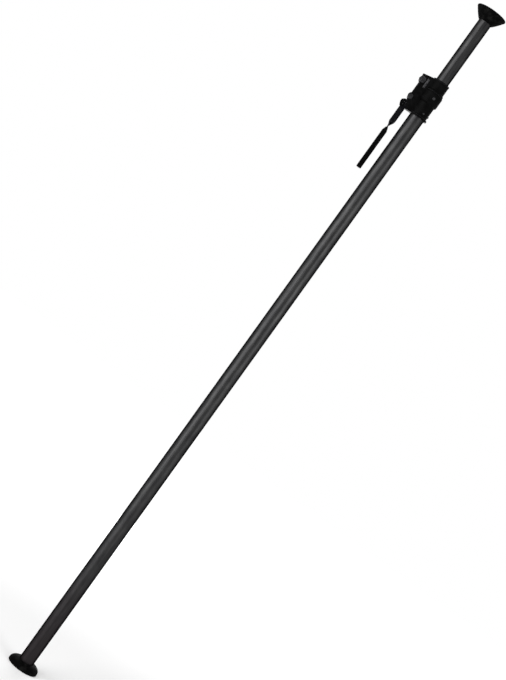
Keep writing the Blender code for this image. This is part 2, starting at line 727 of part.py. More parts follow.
def build_clamp_body():
    """Cast sleeve and chamber round the tube, and the tower that carries the lever.

    The tower's foot slopes away above the safety catch.
    """
    outer = [
        (0.0, SPLIT),
        (BULGE_RADIUS - BULGE_CHAMFER, SPLIT),
        (BULGE_RADIUS, SPLIT - 2 * BULGE_CHAMFER),
        (BULGE_RADIUS, CHAMBER_FLOOR + CHAMBER_WALL),
        (SLEEVE_RADIUS, CHAMBER_FLOOR - SHOULDER_THICK / 2),
        (SLEEVE_RADIUS, CLAMP_BOTTOM + FLANGE_HEIGHT + FLANGE_SLOPE),
        (SLEEVE_RADIUS + FLANGE_WIDTH, CLAMP_BOTTOM + FLANGE_HEIGHT),
        (SLEEVE_RADIUS + FLANGE_WIDTH, CLAMP_BOTTOM + FLANGE_CHAMFER),
        (SLEEVE_RADIUS + FLANGE_WIDTH - FLANGE_CHAMFER, CLAMP_BOTTOM),
        (0.0, CLAMP_BOTTOM),
    ]
    body = part("clamp_body", turned(outer, closed=False), "cast_black")
    tower = plan_block(tower_outline(TOWER_LEFT), CLAMP_BOTTOM + GAP / 2, SPLIT - GAP / 2)
    join(body, tower)
    slope = TOWER_CUT_HIGH / TOWER_CUT_WIDE
    over = 2 * CUT_OVERRUN
    cut_low = CLAMP_BOTTOM - over
    catch_corner = CATCH_PIVOT + Vector((CATCH_PIN_RADIUS, 0.0, CATCH_HIGH))
    cut_high = catch_corner.z + TOWER_CUT_ROOM + (catch_corner.x - TOWER_LEFT) * slope
    corner = side_block(
        [
            (TOWER_LEFT - over, cut_low),
            (TOWER_LEFT + (cut_high - cut_low) / slope, cut_low),
            (TOWER_LEFT - over, cut_high + over * slope),
        ],
        -TOWER_HALF - over,
        TOWER_HALF + over,
    )
    cut(body, corner)
    join(body, cross_rod(LEVER_KNUCKLE_RADIUS, LEVER_PIVOT, LEVER_KNUCKLE_HALF))
    bore = [
        (0.0, SPLIT + CUT_OVERRUN),
        (CHAMBER_RADIUS, SPLIT + CUT_OVERRUN),
        (CHAMBER_RADIUS, CHAMBER_FLOOR),
        (SHOULDER_BORE, CHAMBER_FLOOR),
        (SHOULDER_BORE, SHOULDER_BOTTOM),
        (LOWER_TUBE_RADIUS + GAP, SHOULDER_BOTTOM),
        (LOWER_TUBE_RADIUS + GAP, CLAMP_BOTTOM - CUT_OVERRUN),
        (0.0, CLAMP_BOTTOM - CUT_OVERRUN),
    ]
    cut(body, turned(bore, closed=False))
    pocket = box(
        (TOWER_LEFT + TOWER_WALL, -POCKET_HALF, CHAMBER_FLOOR),
        (-INNER_TUBE_RADIUS, POCKET_HALF, SPLIT + CUT_OVERRUN),
    )
    far_left = TOWER_LEFT - TOWER_HALF
    slot_top = LEVER_Z + CAM_RISE + CAM_ROOM
    slot = side_block(
        [
            (far_left, CLAMP_BOTTOM - CUT_OVERRUN),
            (LEVER_X + CAM_RISE + CAM_ROOM, CLAMP_BOTTOM - CUT_OVERRUN),
            (LEVER_X + CAM_RISE + CAM_ROOM, CHAMBER_FLOOR + CUT_OVERRUN),
            (TOWER_LEFT + TOWER_WALL + SLOT_STEP, CHAMBER_FLOOR + CUT_OVERRUN),
            (TOWER_LEFT + TOWER_WALL + SLOT_STEP, slot_top),
            (far_left, slot_top),
        ],
        -SLOT_HALF,
        SLOT_HALF,
    )
    cut(body, pocket, slot)
    cut(body, cross_rod(LEVER_PIN_RADIUS + GAP, LEVER_PIVOT, LEVER_KNUCKLE_HALF + CUT_OVERRUN))
    cut(body, *rivet_holes())
    cut(body, *guide_screw_holes())
    cut(body, *cap_screw_holes(SPLIT - CAP_SCREW_GRIP - CAP_SCREW_TIP_ROOM, SPLIT + CUT_OVERRUN))
    return body


def guide_screw_holes():
    """Spotface and hole in the chamber wall for each guide screw."""
    level = guide_screw_level()
    flat = BULGE_RADIUS - GUIDE_SPOTFACE
    holes = []
    for angle in GUIDE_SCREW_ANGLES.values():
        far = flat + GUIDE_SCREW_HEAD_THICK + CUT_OVERRUN
        holes.append(radial_rod(GUIDE_SCREW_HEAD + GAP, angle, level, flat, far, SMALL_STEPS))
        near, past = CHAMBER_RADIUS - CUT_OVERRUN, flat + CUT_OVERRUN
        holes.append(radial_rod(GUIDE_SCREW_RADIUS + GAP, angle, level, near, past))
    return holes


def build_guide_screws():
    """Screws in the chamber wall whose tips run in the cage's slots."""
    flat = BULGE_RADIUS - GUIDE_SPOTFACE + GAP
    reach = flat - (CAGE_RADIUS - CAGE_WALL * GUIDE_SCREW_ENTRY)
    shape = turned(
        screw_profile(GUIDE_SCREW_RADIUS, reach, GUIDE_SCREW_HEAD, GUIDE_SCREW_HEAD_THICK),
        SMALL_STEPS,
        closed=False,
    )
    slit = box(
        (-GUIDE_SCREW_HEAD, -GUIDE_SCREW_SLIT / 2, GUIDE_SCREW_HEAD_THICK - GUIDE_SCREW_SLIT_DEPTH),
        (GUIDE_SCREW_HEAD, GUIDE_SCREW_SLIT / 2, GUIDE_SCREW_HEAD_THICK + CUT_OVERRUN),
    )
    for name, angle in GUIDE_SCREW_ANGLES.items():
        out = radial(angle)
        seat = aimed(out, out * flat + Vector((0.0, 0.0, guide_screw_level())))
        screw = part(f"guide_screw_{name}", moved(shape, seat), "black_steel")
        cut(screw, moved(slit, seat))


def cap_screw_places():
    """Plan positions of the two screws that hold the top cap, on the tower's side walls."""
    x = -(CAP_RADIUS + CAP_SCREW_OUT)
    y = (POCKET_HALF + TOWER_HALF) / 2
    return {"front": Vector((x, -y, 0.0)), "rear": Vector((x, y, 0.0))}


def cap_screw_seat():
    """Height of the flat that a cap screw's head sits on, sunk in the sloping top."""
    slope = (CAP_TOP - hood_top()) / (-CAP_RADIUS - hood_left())
    x = cap_screw_places()["front"].x
    return CAP_TOP + slope * (x + CAP_RADIUS) - CAP_SCREW_SINK


def cap_screw_holes(low, high):
    """Holes for the cap screws between two heights."""
    places = cap_screw_places().values()
    return [upright_rod(CAP_SCREW_RADIUS + GAP, place, low, high) for place in places]


def hood_left():
    """Left edge of the hood over the trigger."""
    return TOWER_LEFT - HOOD_OVERHANG


def hood_bottom():
    """Underside of the hood."""
    return TRIGGER_PIVOT.z + TRIGGER_KNUCKLE_RADIUS + HOOD_ROOM


def hood_top():
    """Top of the hood at its left edge."""
    return hood_bottom() + HOOD_HEIGHT


def build_top_cap():
    """Cast cover over the chamber: ring round the mast, hood and knuckles of the trigger."""
    outer = [
        (0.0, CAP_TOP),
        (CAP_RADIUS - CAP_CHAMFER, CAP_TOP),
        (CAP_RADIUS, CAP_TOP - CAP_CHAMFER),
        (CAP_RADIUS, CAP_BOTTOM + CAP_RIM_HEIGHT + CAP_SLOPE_HEIGHT),
        (BULGE_RADIUS - BULGE_CHAMFER, CAP_BOTTOM + CAP_RIM_HEIGHT),
        (BULGE_RADIUS - BULGE_CHAMFER, CAP_BOTTOM),
        (0.0, CAP_BOTTOM),
    ]
    cap = part("top_cap", turned(outer, closed=False), "cast_black")
    side = side_block(
        [
            (0.0, CAP_BOTTOM + GAP / 2),
            (TOWER_LEFT, CAP_BOTTOM + GAP / 2),
            (TOWER_LEFT, hood_bottom()),
            (hood_left(), hood_bottom()),
            (hood_left(), hood_top()),
            (-CAP_RADIUS, CAP_TOP - GAP / 2),
            (0.0, CAP_TOP - GAP / 2),
        ],
        -TOWER_HALF,
        TOWER_HALF,
    )
    join(cap, side)
    bore = rod(
        INNER_TUBE_RADIUS + GAP + BUSH_WALL + GAP,
        (0, 0, CAP_BOTTOM - CUT_OVERRUN),
        (0, 0, CAP_TOP + CUT_OVERRUN),
        ROUND_STEPS,
    )
    pocket_right = riser_right() + GAP * 2
    ceiling = TRIGGER_PIVOT.z + TRIGGER_HUB_RADIUS + HOOD_ROOM
    window_top = hood_bottom() - GAP
    far_left = TOWER_LEFT - TOWER_HALF
    window = side_block(
        [
            (far_left, CAP_BOTTOM - CUT_OVERRUN),
            (pocket_right, CAP_BOTTOM - CUT_OVERRUN),
            (pocket_right, ceiling),
            (TRIGGER_PIVOT.x + TRIGGER_HUB_RADIUS - HOOD_ROOM, ceiling),
            (TRIGGER_PIVOT.x + TRIGGER_HUB_RADIUS - HOOD_ROOM, window_top),
            (far_left, window_top),
        ],
        -POCKET_HALF,
        POCKET_HALF,
    )
    cut(cap, bore, window)
    for side in (-1, 1):
        start = TRIGGER_PIVOT + Vector((0, side * (POCKET_HALF + GAP), 0))
        end = TRIGGER_PIVOT + Vector((0, side * TRIGGER_KNUCKLE_HALF, 0))
        join(cap, rod(TRIGGER_KNUCKLE_RADIUS, start, end))
    cut(cap, cross_rod(TRIGGER_PIN_RADIUS + GAP, TRIGGER_PIVOT, TRIGGER_KNUCKLE_HALF + CUT_OVERRUN))
    cut(cap, *cap_screw_holes(CAP_BOTTOM - CUT_OVERRUN, CAP_TOP + CUT_OVERRUN))
    for place in cap_screw_places().values():
        cut(cap, upright_rod(CAP_SCREW_HEAD + GAP, place, cap_screw_seat(), CAP_TOP + CUT_OVERRUN))


def build_cap_screws():
    """Two screws that hold the top cap on the clamp body."""
    length = cap_screw_seat() + GAP - (SPLIT - CAP_SCREW_GRIP)
    shape = turned(
        screw_profile(CAP_SCREW_RADIUS, length, CAP_SCREW_HEAD, CAP_SCREW_HEAD_THICK),
        TINY_STEPS,
        closed=False,
    )
    key = rod(
        CAP_SCREW_KEY_RADIUS,
        (0, 0, CAP_SCREW_HEAD_THICK - CAP_SCREW_KEY_DEPTH),
        (0, 0, CAP_SCREW_HEAD_THICK + CUT_OVERRUN),
        steps=6,
    )
    for name, place in cap_screw_places().items():
        seat = Matrix.Translation(place + Vector((0, 0, cap_screw_seat() + GAP)))
        screw = part(f"cap_screw_{name}", moved(shape, seat), "black_steel")
        cut(screw, moved(key, seat))


def build_guide_bush():
    """Flanged nylon bush in the cap, which guides the mast."""
    inner = INNER_TUBE_RADIUS + GAP
    outer = inner + BUSH_WALL
    flange = outer + BUSH_FLANGE_WIDTH
    top = CLAMP_TOP
    profile = [
        (inner + BUSH_CHAMFER, top),
        (flange - BUSH_CHAMFER, top),
        (flange, top - BUSH_CHAMFER),
        (flange, top - BUSH_FLANGE_THICK),
        (outer, top - BUSH_FLANGE_THICK),
        (outer, CAP_BOTTOM + BUSH_RISE),
        (inner, CAP_BOTTOM + BUSH_RISE),
        (inner, top - BUSH_CHAMFER),
    ]
    part("guide_bush", turned(profile), "nylon")


def headed_pin(radius, head, head_thick, pivot, half, clip):
    """A pin along Y with a round head at the front, and a second head or room for a clip at the back."""
    seat = half + GAP
    profile = [
        (0.0, seat + head_thick),
        (head - PIN_CHAMFER, seat + head_thick),
        (head, seat + head_thick - PIN_CHAMFER),
        (head, seat),
        (radius, seat),
    ]
    if clip:
        end = -seat - CLIP_THICK - PIN_STICK_OUT
        profile += [(radius, end + PIN_CHAMFER), (radius - PIN_CHAMFER, end), (0.0, end)]
    else:
        profile += [
            (radius, -seat),
            (head, -seat),
            (head, -seat - head_thick + PIN_CHAMFER),
            (head - PIN_CHAMFER, -seat - head_thick),
            (0.0, -seat - head_thick),
        ]
    return moved(turned(profile, SMALL_STEPS, closed=False), aimed((0, -1, 0), pivot))


def build_pins():
    """Pivot pin of the lever with its clip, and pin of the release trigger."""
    lever_pin = headed_pin(
        LEVER_PIN_RADIUS, LEVER_PIN_HEAD, LEVER_PIN_HEAD_THICK, LEVER_PIVOT, LEVER_KNUCKLE_HALF, True
    )
    part("lever_pivot_pin", lever_pin, "black_steel")
    low = LEVER_KNUCKLE_HALF + GAP
    clip = turned(
        [
            (CLIP_RADIUS, low + CLIP_THICK),
            (CLIP_RADIUS, low),
            (LEVER_PIN_RADIUS + GAP, low),
            (LEVER_PIN_RADIUS + GAP, low + CLIP_THICK),
        ],
        SMALL_STEPS,
    )
    part("pivot_clip", moved(clip, aimed((0, 1, 0), LEVER_PIVOT)), "spring_steel")
    trigger_pin = headed_pin(
        TRIGGER_PIN_RADIUS,
        TRIGGER_PIN_HEAD,
        TRIGGER_PIN_HEAD_THICK,
        TRIGGER_PIVOT,
        TRIGGER_KNUCKLE_HALF,
        False,
    )
    part("trigger_pin", trigger_pin, "black_steel")


def coil_points(radius, turns, low, high, closing=0.0, lean=0.0):
    """Points of a coil about Z. Closing draws the end turns together, and its foot leans in x."""
    count = round(turns * SPRING_POINTS_PER_TURN)
    points = []
    for i in range(count + 1):
        share = i / count
        angle = math.tau * turns * share
        x, y = radius * math.cos(angle), radius * math.sin(angle)
        eased = share * share * (3 - 2 * share)
        climb = share + (eased - share) * closing
        foot = low + lean * (x - radius)
        points.append(Vector((x, y, foot + (high - foot) * climb)))
    return points


def say_coil_gap(name, points, wire_radius):
    """Prints the smallest gap between points of a coil that are half a turn or more apart."""
    nearest = min(
        (points[i] - points[j]).length
        for i in range(len(points))
        for j in range(i + SPRING_POINTS_PER_TURN // 2, len(points))
    )
    print(name, "least gap in mm:", round((nearest - 2 * wire_radius) / MM, 2))


def build_cage(carriage):
    """Cage that lifts the mast: ring, wall, arm over the cam, lid, follower pad and its screw."""
    inner = CAGE_RADIUS - CAGE_WALL
    ring_bore = INNER_TUBE_RADIUS + GAP + TURN_RING_WIDTH + GAP
    profile = [
        (CAGE_RADIUS, CAGE_WALL_TOP),
        (CAGE_RADIUS, CAGE_BOTTOM),
        (INNER_TUBE_RADIUS + CAGE_LIP_PLAY, CAGE_BOTTOM),
        (INNER_TUBE_RADIUS + CAGE_LIP_PLAY, CAGE_BOTTOM + CAGE_LIP),
        (ring_bore, CAGE_BOTTOM + CAGE_LIP),
        (ring_bore, CAGE_BOTTOM + CAGE_RING),
        (inner, CAGE_BOTTOM + CAGE_RING),
        (inner, CAGE_WALL_TOP),
    ]
    cage = part("lift_cage", turned(profile), "cast_black", carriage)
    arm_left = TOWER_LEFT + TOWER_WALL + 2 * GAP
    arm = box(
        (arm_left, -ARM_HALF, CAGE_BOTTOM + GAP / 3),
        (-(ring_bore + CAGE_WALL / 2), ARM_HALF, CAGE_BOTTOM + CAGE_RING - GAP / 3),
    )
    fulcrum = box(
        (ring_bore + GAP, -FULCRUM_HALF, CAGE_BOTTOM + CAGE_RING - CUT_OVERRUN),
        (inner + CAGE_WALL / 2, FULCRUM_HALF, CAGE_BOTTOM + CAGE_RING + FULCRUM_RISE),
    )
    join(cage, arm, fulcrum)
    window = box(
        (-CAGE_RADIUS - CUT_OVERRUN, -CAGE_WINDOW, CAGE_BOTTOM + CAGE_RING),
        (-INNER_TUBE_RADIUS / 2, CAGE_WINDOW, CAGE_WALL_TOP + CUT_OVERRUN),
    )
    cut(cage, window)
    slot_half = GUIDE_SCREW_RADIUS + GAP
    slot_low = guide_screw_level() - slot_half - GUIDE_SLOT_MARGIN
    slot_high = guide_screw_level() + LIFT + slot_half + GUIDE_SLOT_MARGIN
    for angle in GUIDE_SCREW_ANGLES.values():
        near, far = inner - CUT_OVERRUN, CAGE_RADIUS + CUT_OVERRUN
        slot = box((near, -slot_half, slot_low), (far, slot_half, slot_high))
        cut(cage, moved(slot, Matrix.Rotation(angle, 4, "Z")))
    pad_x = LEVER_X + CAM_PITCH
    screw_hole = PAD_SCREW_RADIUS + GAP
    screw = Vector((pad_x, 0.0, 0.0))
    above = CAGE_BOTTOM + CAGE_RING + CUT_OVERRUN
    cut(cage, upright_rod(screw_hole, screw, CAGE_BOTTOM - CUT_OVERRUN, above))
    lid_spigot = inner - GAP
    lid_low = CAGE_WALL_TOP + GAP
    lid = [
        (CAGE_RADIUS, CAGE_TOP),
        (CAGE_RADIUS, lid_low),
        (lid_spigot, lid_low),
        (lid_spigot, lid_low - LID_SPIGOT),
        (INNER_TUBE_RADIUS + LID_PLAY, lid_low - LID_SPIGOT),
        (INNER_TUBE_RADIUS + LID_PLAY, CAGE_TOP),
    ]
    part("cage_lid", turned(lid), "nylon", carriage)
    pad_top = CAGE_BOTTOM - GAP
    pad = box(
        (pad_x - PAD_HALF, -SLOT_HALF + 2 * GAP, pad_top - PAD_THICK),
        (pad_x + PAD_HALF, SLOT_HALF - 2 * GAP, pad_top),
    )
    pad = part("follower_pad", pad, "black_steel", carriage)
    blind = pad_top - PAD_THICK + PAD_SKIN
    cut(pad, upright_rod(screw_hole, screw, blind, pad_top + CUT_OVERRUN))
    seat = CAGE_BOTTOM + CAGE_RING + GAP
    profile = screw_profile(PAD_SCREW_RADIUS, seat - blind - GAP, PAD_SCREW_HEAD, PAD_SCREW_HEAD_THICK)
    shape = turned(profile, TINY_STEPS, closed=False)
    part("pad_screw", moved(shape, Matrix.Translation((pad_x, 0.0, seat))), "black_steel", carriage)


def build_turn_ring(ring):
    """Nylon ring in the cage's floor that turns with the mast."""
    low = CAGE_BOTTOM + CAGE_LIP + GAP
    inner = INNER_TUBE_RADIUS + GAP
    profile = tube_profile(inner + TURN_RING_WIDTH, inner, low, CAGE_BOTTOM + CAGE_RING - GAP / 2)
    part("turn_ring", turned(profile), "nylon", ring)


def plate_hole_radius():
    """Hole that clears the mast with the plate canted, and bites when it cants further."""
    lean = INNER_TUBE_RADIUS + PLATE_THICK / 2 * math.sin(PLATE_CANT)
    return lean / math.cos(PLATE_CANT) + PLATE_PLAY


def riser_right():
    """Side of the jam plate's upright strip that faces the mast."""
    return -(CAP_RADIUS + RISER_STANDOFF)


def tail_left():
    """Outer end of the jam plate's tail, clear of the trigger's hub."""
    return TRIGGER_PIVOT.x + TRIGGER_HUB_RADIUS + PLATE_TAIL_PLAY


def build_jam_plate(plate_axis):
    """Steel plate round the mast, canted on its fulcrum, with a tail bent up for the trigger."""
    low = PLATE_PIVOT.z
    ring = tube_profile(PLATE_RADIUS, plate_hole_radius(), low, low + PLATE_THICK)
    to_pivot = Matrix.Translation(PLATE_PIVOT)
    canted = to_pivot @ Matrix.Rotation(-PLATE_CANT, 4, "Y") @ to_pivot.inverted()
    plate = part("jam_plate", moved(turned(ring), canted), "black_steel", plate_axis)
    root = -(plate_hole_radius() + PLATE_RADIUS) / 2
    root_low, root_high = low + GAP / 3, low + PLATE_THICK - GAP / 3
    riser_left = riser_right() - PLATE_TAIL_THICK
    strip_low = low + PLATE_TAIL_RISE
    tail = side_block(
        [
            (root, root_low),
            (root, root_high),
            (riser_right(), root_high),
            (riser_right(), strip_low + PLATE_TAIL_THICK),
            (tail_left(), strip_low + PLATE_TAIL_THICK),
            (tail_left(), strip_low),
            (riser_left, strip_low),
            (riser_left, root_low),
        ],
        -PLATE_TAIL_HALF,
        PLATE_TAIL_HALF,
    )
    join(plate, moved(tail, canted))


def build_jam_spring(carriage):
    """Coil spring round the mast that keeps the jam plate canted. It stands on the canted plate."""
    radius = INNER_TUBE_RADIUS + JAM_SPRING_PLAY + JAM_SPRING_WIRE
    lean = math.tan(PLATE_CANT)
    plate_top_right = PLATE_PIVOT.z + PLATE_THICK - (PLATE_PIVOT.x - radius) * lean
    low = plate_top_right + JAM_SPRING_WIRE + GAP
    high = CAGE_WALL_TOP + GAP - LID_SPIGOT - GAP - JAM_SPRING_WIRE
    points = coil_points(radius, JAM_SPRING_TURNS, low, high, JAM_SPRING_CLOSING, lean)
    say_coil_gap("jam_spring", points, JAM_SPRING_WIRE)
    part("jam_spring", wire(points, JAM_SPRING_WIRE), "spring_steel", carriage)


def build_trigger(trigger_axis):
    """Release trigger: thumb pad between the knuckles and a finger under the jam plate's tail."""
    x, z = TRIGGER_PIVOT.x, TRIGGER_PIVOT.z
    pad = TRIGGER_KNUCKLE_RADIUS - GAP
    tail_low = PLATE_PIVOT.z + PLATE_TAIL_RISE
    toe_right = tail_left() + TOE_REACH
    tail_drop = (PLATE_PIVOT.x - toe_right) * math.sin(PLATE_CANT) + LIFT
    toe_top = tail_low - tail_drop - TOE_PLAY
    toe_low = toe_top - TOE_THICK
    lip_left = x - pad - THUMB_LIP
    outline = arc((x, z), pad, math.radians(100), math.radians(168), 6)
    outline += [(lip_left, z + THUMB_LIP), (lip_left, z - THUMB_LIP / 2)]
    outline += arc((x, z), pad, math.radians(190), math.radians(235), 4)
    outline += [
        (x + THUMB_LIP, z - TRIGGER_HUB_RADIUS),
        (x + TOE_THICK, toe_low),
        (toe_right, toe_low),
        (toe_right, toe_top),
        (x + TRIGGER_HUB_RADIUS + THUMB_LIP, toe_top),
    ]
    outline += arc((x, z), TRIGGER_HUB_RADIUS, math.radians(-10), math.radians(75), 4)
    trigger = part(
        "release_trigger", side_block(outline, -TRIGGER_HALF, TRIGGER_HALF), "grip_plastic", trigger_axis
    )
    cut(trigger, cross_rod(TRIGGER_PIN_RADIUS + GAP, TRIGGER_PIVOT, TRIGGER_HALF + CUT_OVERRUN))
    inner_end = TRIGGER_PIVOT + Vector((0.0, TRIGGER_HALF - TRIGGER_SPRING_ROOM, 0.0))
    outer_end = TRIGGER_PIVOT + Vector((0.0, TRIGGER_HALF + CUT_OVERRUN, 0.0))
    cut(trigger, rod(TRIGGER_PIN_RADIUS + TRIGGER_SPRING_WIDTH, inner_end, outer_end))


def build_trigger_spring():
    """Small spring round the trigger's pin, in a recess of the trigger."""
    radius = TRIGGER_PIN_RADIUS + TRIGGER_SPRING_WIDTH / 2
    low = TRIGGER_HALF - TRIGGER_SPRING_ROOM + GAP + TRIGGER_SPRING_WIRE
    high = POCKET_HALF - GAP - TRIGGER_SPRING_WIRE
    points = coil_points(radius, TRIGGER_SPRING_TURNS, low, high)
    say_coil_gap("trigger_spring", points, TRIGGER_SPRING_WIRE)
    spring = moved(wire(points, TRIGGER_SPRING_WIRE), aimed((0, 1, 0), TRIGGER_PIVOT))
    part("trigger_spring", spring, "spring_steel")


def cam_outline():
    """Side view of a cam plate. Its top is an involute, so the pad falls in step with the lever."""
    x, z = LEVER_PIVOT.x, LEVER_PIVOT.z
    points = []
    for i in range(CAM_STEPS + 1):
        turn = (LEVER_SWING + CAM_OVERTURN) * i / CAM_STEPS
        reach = CAM_RISE - CAM_PITCH * turn
        outward = (-math.sin(turn), math.cos(turn))
        along = (-math.cos(turn), -math.sin(turn))
        points.append(
            (
                x + reach * outward[0] - CAM_PITCH * along[0],
                z + reach * outward[1] - CAM_PITCH * along[1],
            )
        )
    tail = [
        (x - NECK_LEFT, z - NECK_TOP),
        (x - NECK_LEFT, z - NECK_BOTTOM),
        (x + BLADE_OFFSET - CAM_TAIL_HALF, z - NECK_BOTTOM - NECK_SLOPE),
        (x + BLADE_OFFSET - CAM_TAIL_HALF, z - CAM_TAIL + CAM_TAIL_CHAMFER),
        (x + BLADE_OFFSET - CAM_TAIL_HALF + CAM_TAIL_CHAMFER, z - CAM_TAIL),
        (x + BLADE_OFFSET + CAM_TAIL_HALF - CAM_TAIL_CHAMFER, z - CAM_TAIL),
        (x + BLADE_OFFSET + CAM_TAIL_HALF, z - CAM_TAIL + CAM_TAIL_CHAMFER),
    ]
    right = arc((x, z), CAM_HEEL_RADIUS, math.radians(-35), math.radians(20), 4)
    return points + tail + right


def build_lever(lever_axis):
    """Lever: twisted steel blade, two cam plates riveted to it, and a moulded grip."""
    half = BLADE_THICK / 2
    holes = [
        cross_rod(CAM_RIVET_RADIUS + GAP, rivet_place(drop), SLOT_HALF + CUT_OVERRUN, TINY_STEPS)
        for drop in CAM_RIVET_DROPS.values()
    ]
    for name, side in (("cam_plate_front", -1), ("cam_plate_rear", 1)):
        low, high = sorted((side * (half + GAP), side * (half + GAP + CAM_THICK)))
        cam = part(name, side_block(cam_outline(), low, high), "black_steel", lever_axis)
        cut(cam, cross_rod(LEVER_PIN_RADIUS + GAP, LEVER_PIVOT, SLOT_HALF + CUT_OVERRUN))
        cut(cam, *holes)
    blade = part("lever_blade", blade_shape(), "black_steel", lever_axis)
    cut(blade, cross_rod(LEVER_PIN_RADIUS + GAP, LEVER_PIVOT, SLOT_HALF + CUT_OVERRUN))
    cut(blade, neck_notch(), *holes)
    cut(blade, cross_rod(CATCH_PIN_RADIUS + GAP, CATCH_PIVOT, SLOT_HALF + CUT_OVERRUN, TINY_STEPS))
    cut(blade, grip_rivet_hole())
    for name, drop in CAM_RIVET_DROPS.items():
        rivet = cross_rod(CAM_RIVET_RADIUS, rivet_place(drop), half + GAP + CAM_THICK, TINY_STEPS)
        part(f"cam_rivet_{name}", rivet, "black_steel", lever_axis)
    build_grip(lever_axis)


def neck_notch():
    """Notch in the blade's outer edge, between its hub and the safety catch."""
    x, z = LEVER_PIVOT.x, LEVER_PIVOT.z
    far = x - 2 * BLADE_HALF
    flare = x - NECK_LEFT - far
    outline = [
        (far, z - NECK_TOP + flare * NOTCH_RISE),
        (x - NECK_LEFT, z - NECK_TOP),
        (x - NECK_LEFT, z - NECK_BOTTOM),
        (far, z - NECK_BOTTOM - flare * NOTCH_FALL),
    ]
    return side_block(outline, -SLOT_HALF - CUT_OVERRUN, SLOT_HALF + CUT_OVERRUN)


def rivet_place(drop):
    """Place of a cam rivet below the lever's pivot."""
    return LEVER_PIVOT + Vector((BLADE_OFFSET, 0.0, -drop))


def blade_sections():
    """Sections down the blade: (height above the pivot, half width, offset in x, twist)."""
    sections = []
    for i in range(HUB_STEPS):
        angle = HUB_CROWN * (1 - i / HUB_STEPS)
        sections.append((HUB_RADIUS * math.sin(angle), HUB_RADIUS * math.cos(angle), 0.0, 0.0))
    sections.append((0.0, HUB_RADIUS, 0.0, 0.0))
    sections.append((-NECK_TOP / 2, HUB_RADIUS, 0.0, 0.0))
    sections.append((-NECK_BOTTOM, BLADE_HALF, BLADE_OFFSET, 0.0))
    sections.append((-BLADE_FLAT_LENGTH, BLADE_HALF, BLADE_OFFSET, 0.0))
    for i in range(1, TWIST_STEPS + 1):
        share = i / TWIST_STEPS
        eased = share * share * (3 - 2 * share)
        wide = BLADE_HALF + (TANG_HALF - BLADE_HALF) * eased
        height = -BLADE_FLAT_LENGTH - BLADE_TWIST_LENGTH * share
        sections.append((height, wide, BLADE_OFFSET - GRIP_SET_OUT * eased, math.radians(90.0) * eased))
    tang_end = grip_top() - GRIP_LENGTH + GRIP_END_WALL + GAP - LEVER_Z
    sections.append((tang_end, TANG_HALF, BLADE_OFFSET - GRIP_SET_OUT, math.radians(90.0)))
    return sections


def blade_shape():
    """The blade: a bar cut across into sections, which are then widened and twisted."""
    sections = blade_sections()
    form = bmesh.new()
    bmesh.ops.create_cube(form, size=1.0)
    levels = len(sections) - 1
    for i in range(1, levels):
        everything = form.verts[:] + form.edges[:] + form.faces[:]
        height = 0.5 - i / levels
        bmesh.ops.bisect_plane(form, geom=everything, plane_co=(0, 0, height), plane_no=(0, 0, 1))
    for vert in form.verts:
        index = round((0.5 - vert.co.z) * levels)
        height, wide, offset, twist = sections[index]
        x = math.copysign(wide, vert.co.x)
        y = math.copysign(BLADE_THICK / 2, vert.co.y)
        turned_x = x * math.cos(twist) - y * math.sin(twist)
        turned_y = x * math.sin(twist) + y * math.cos(twist)
        vert.co = (offset + turned_x, turned_y, height)
    bmesh.ops.triangulate(form, faces=form.faces)
    return shape_of(form, Matrix.Translation(LEVER_PIVOT))


def grip_top():
    """Height of the grip's upper end."""
    return LEVER_Z - BLADE_FLAT_LENGTH - BLADE_TWIST_LENGTH - GRIP_NECK


def grip_middle():
    """Distance of the grip's middle from the pole's axis, in x."""
    return LEVER_X + BLADE_OFFSET - GRIP_SET_OUT


def grip_rivet_hole(extra=GAP):
    """Hole, or with no extra the rivet itself, through grip and tang, along X."""
    middle = Vector((grip_middle(), 0.0, grip_top() - GRIP_TAPER - GRIP_RIVET_DROP))
    reach = Vector((GRIP_HALF_THICK + (CUT_OVERRUN if extra else -GAP), 0.0, 0.0))
    return rod(GRIP_RIVET_RADIUS + extra, middle - reach, middle + reach, TINY_STEPS)


def build_grip(lever_axis):
    """Moulded grip over the blade's tang, tapered at its upper end, with the rivet through it."""
    form = bmesh.new()
    bmesh.ops.create_cube(form, size=1.0)
    everything = form.verts[:] + form.edges[:] + form.faces[:]
    bmesh.ops.bisect_plane(form, geom=everything, plane_co=(0, 0, 0), plane_no=(0, 0, 1))
    top = grip_top()
    heights = {0.5: 0.0, 0.0: -GRIP_TAPER, -0.5: -GRIP_LENGTH}
    halves = {
        0.5: (GRIP_MOUTH_HALF, TANG_HALF + GRIP_MOUTH_WALL),
        0.0: (GRIP_HALF_THICK, GRIP_HALF_WIDE),
        -0.5: (GRIP_HALF_THICK, GRIP_HALF_WIDE),
    }
    for vert in form.verts:
        level = round(vert.co.z * 2) / 2
        thick, wide = halves[level]
        x, y = math.copysign(thick, vert.co.x), math.copysign(wide, vert.co.y)
        vert.co = (x, y, heights[level])
    upright = [e for e in form.edges if abs((e.verts[0].co - e.verts[1].co).z) > GRIP_TAPER / 2]
    bmesh.ops.bevel(form, geom=upright, offset=GRIP_ROUND, segments=3, profile=0.5, affect="EDGES")
    middle = grip_middle()
    shape = shape_of(form, Matrix.Translation((middle, 0.0, top)))
    grip = part("lever_grip", shape, "grip_plastic", lever_axis)
    tang_end = top - GRIP_LENGTH + GRIP_END_WALL
    half = BLADE_THICK / 2 + GAP
    pocket = box(
        (middle - half, -TANG_HALF - GAP, tang_end),
        (middle + half, TANG_HALF + GAP, top + CUT_OVERRUN),
    )
    cut(grip, pocket, grip_rivet_hole())
    part("grip_rivet", grip_rivet_hole(0.0), "black_steel", lever_axis)


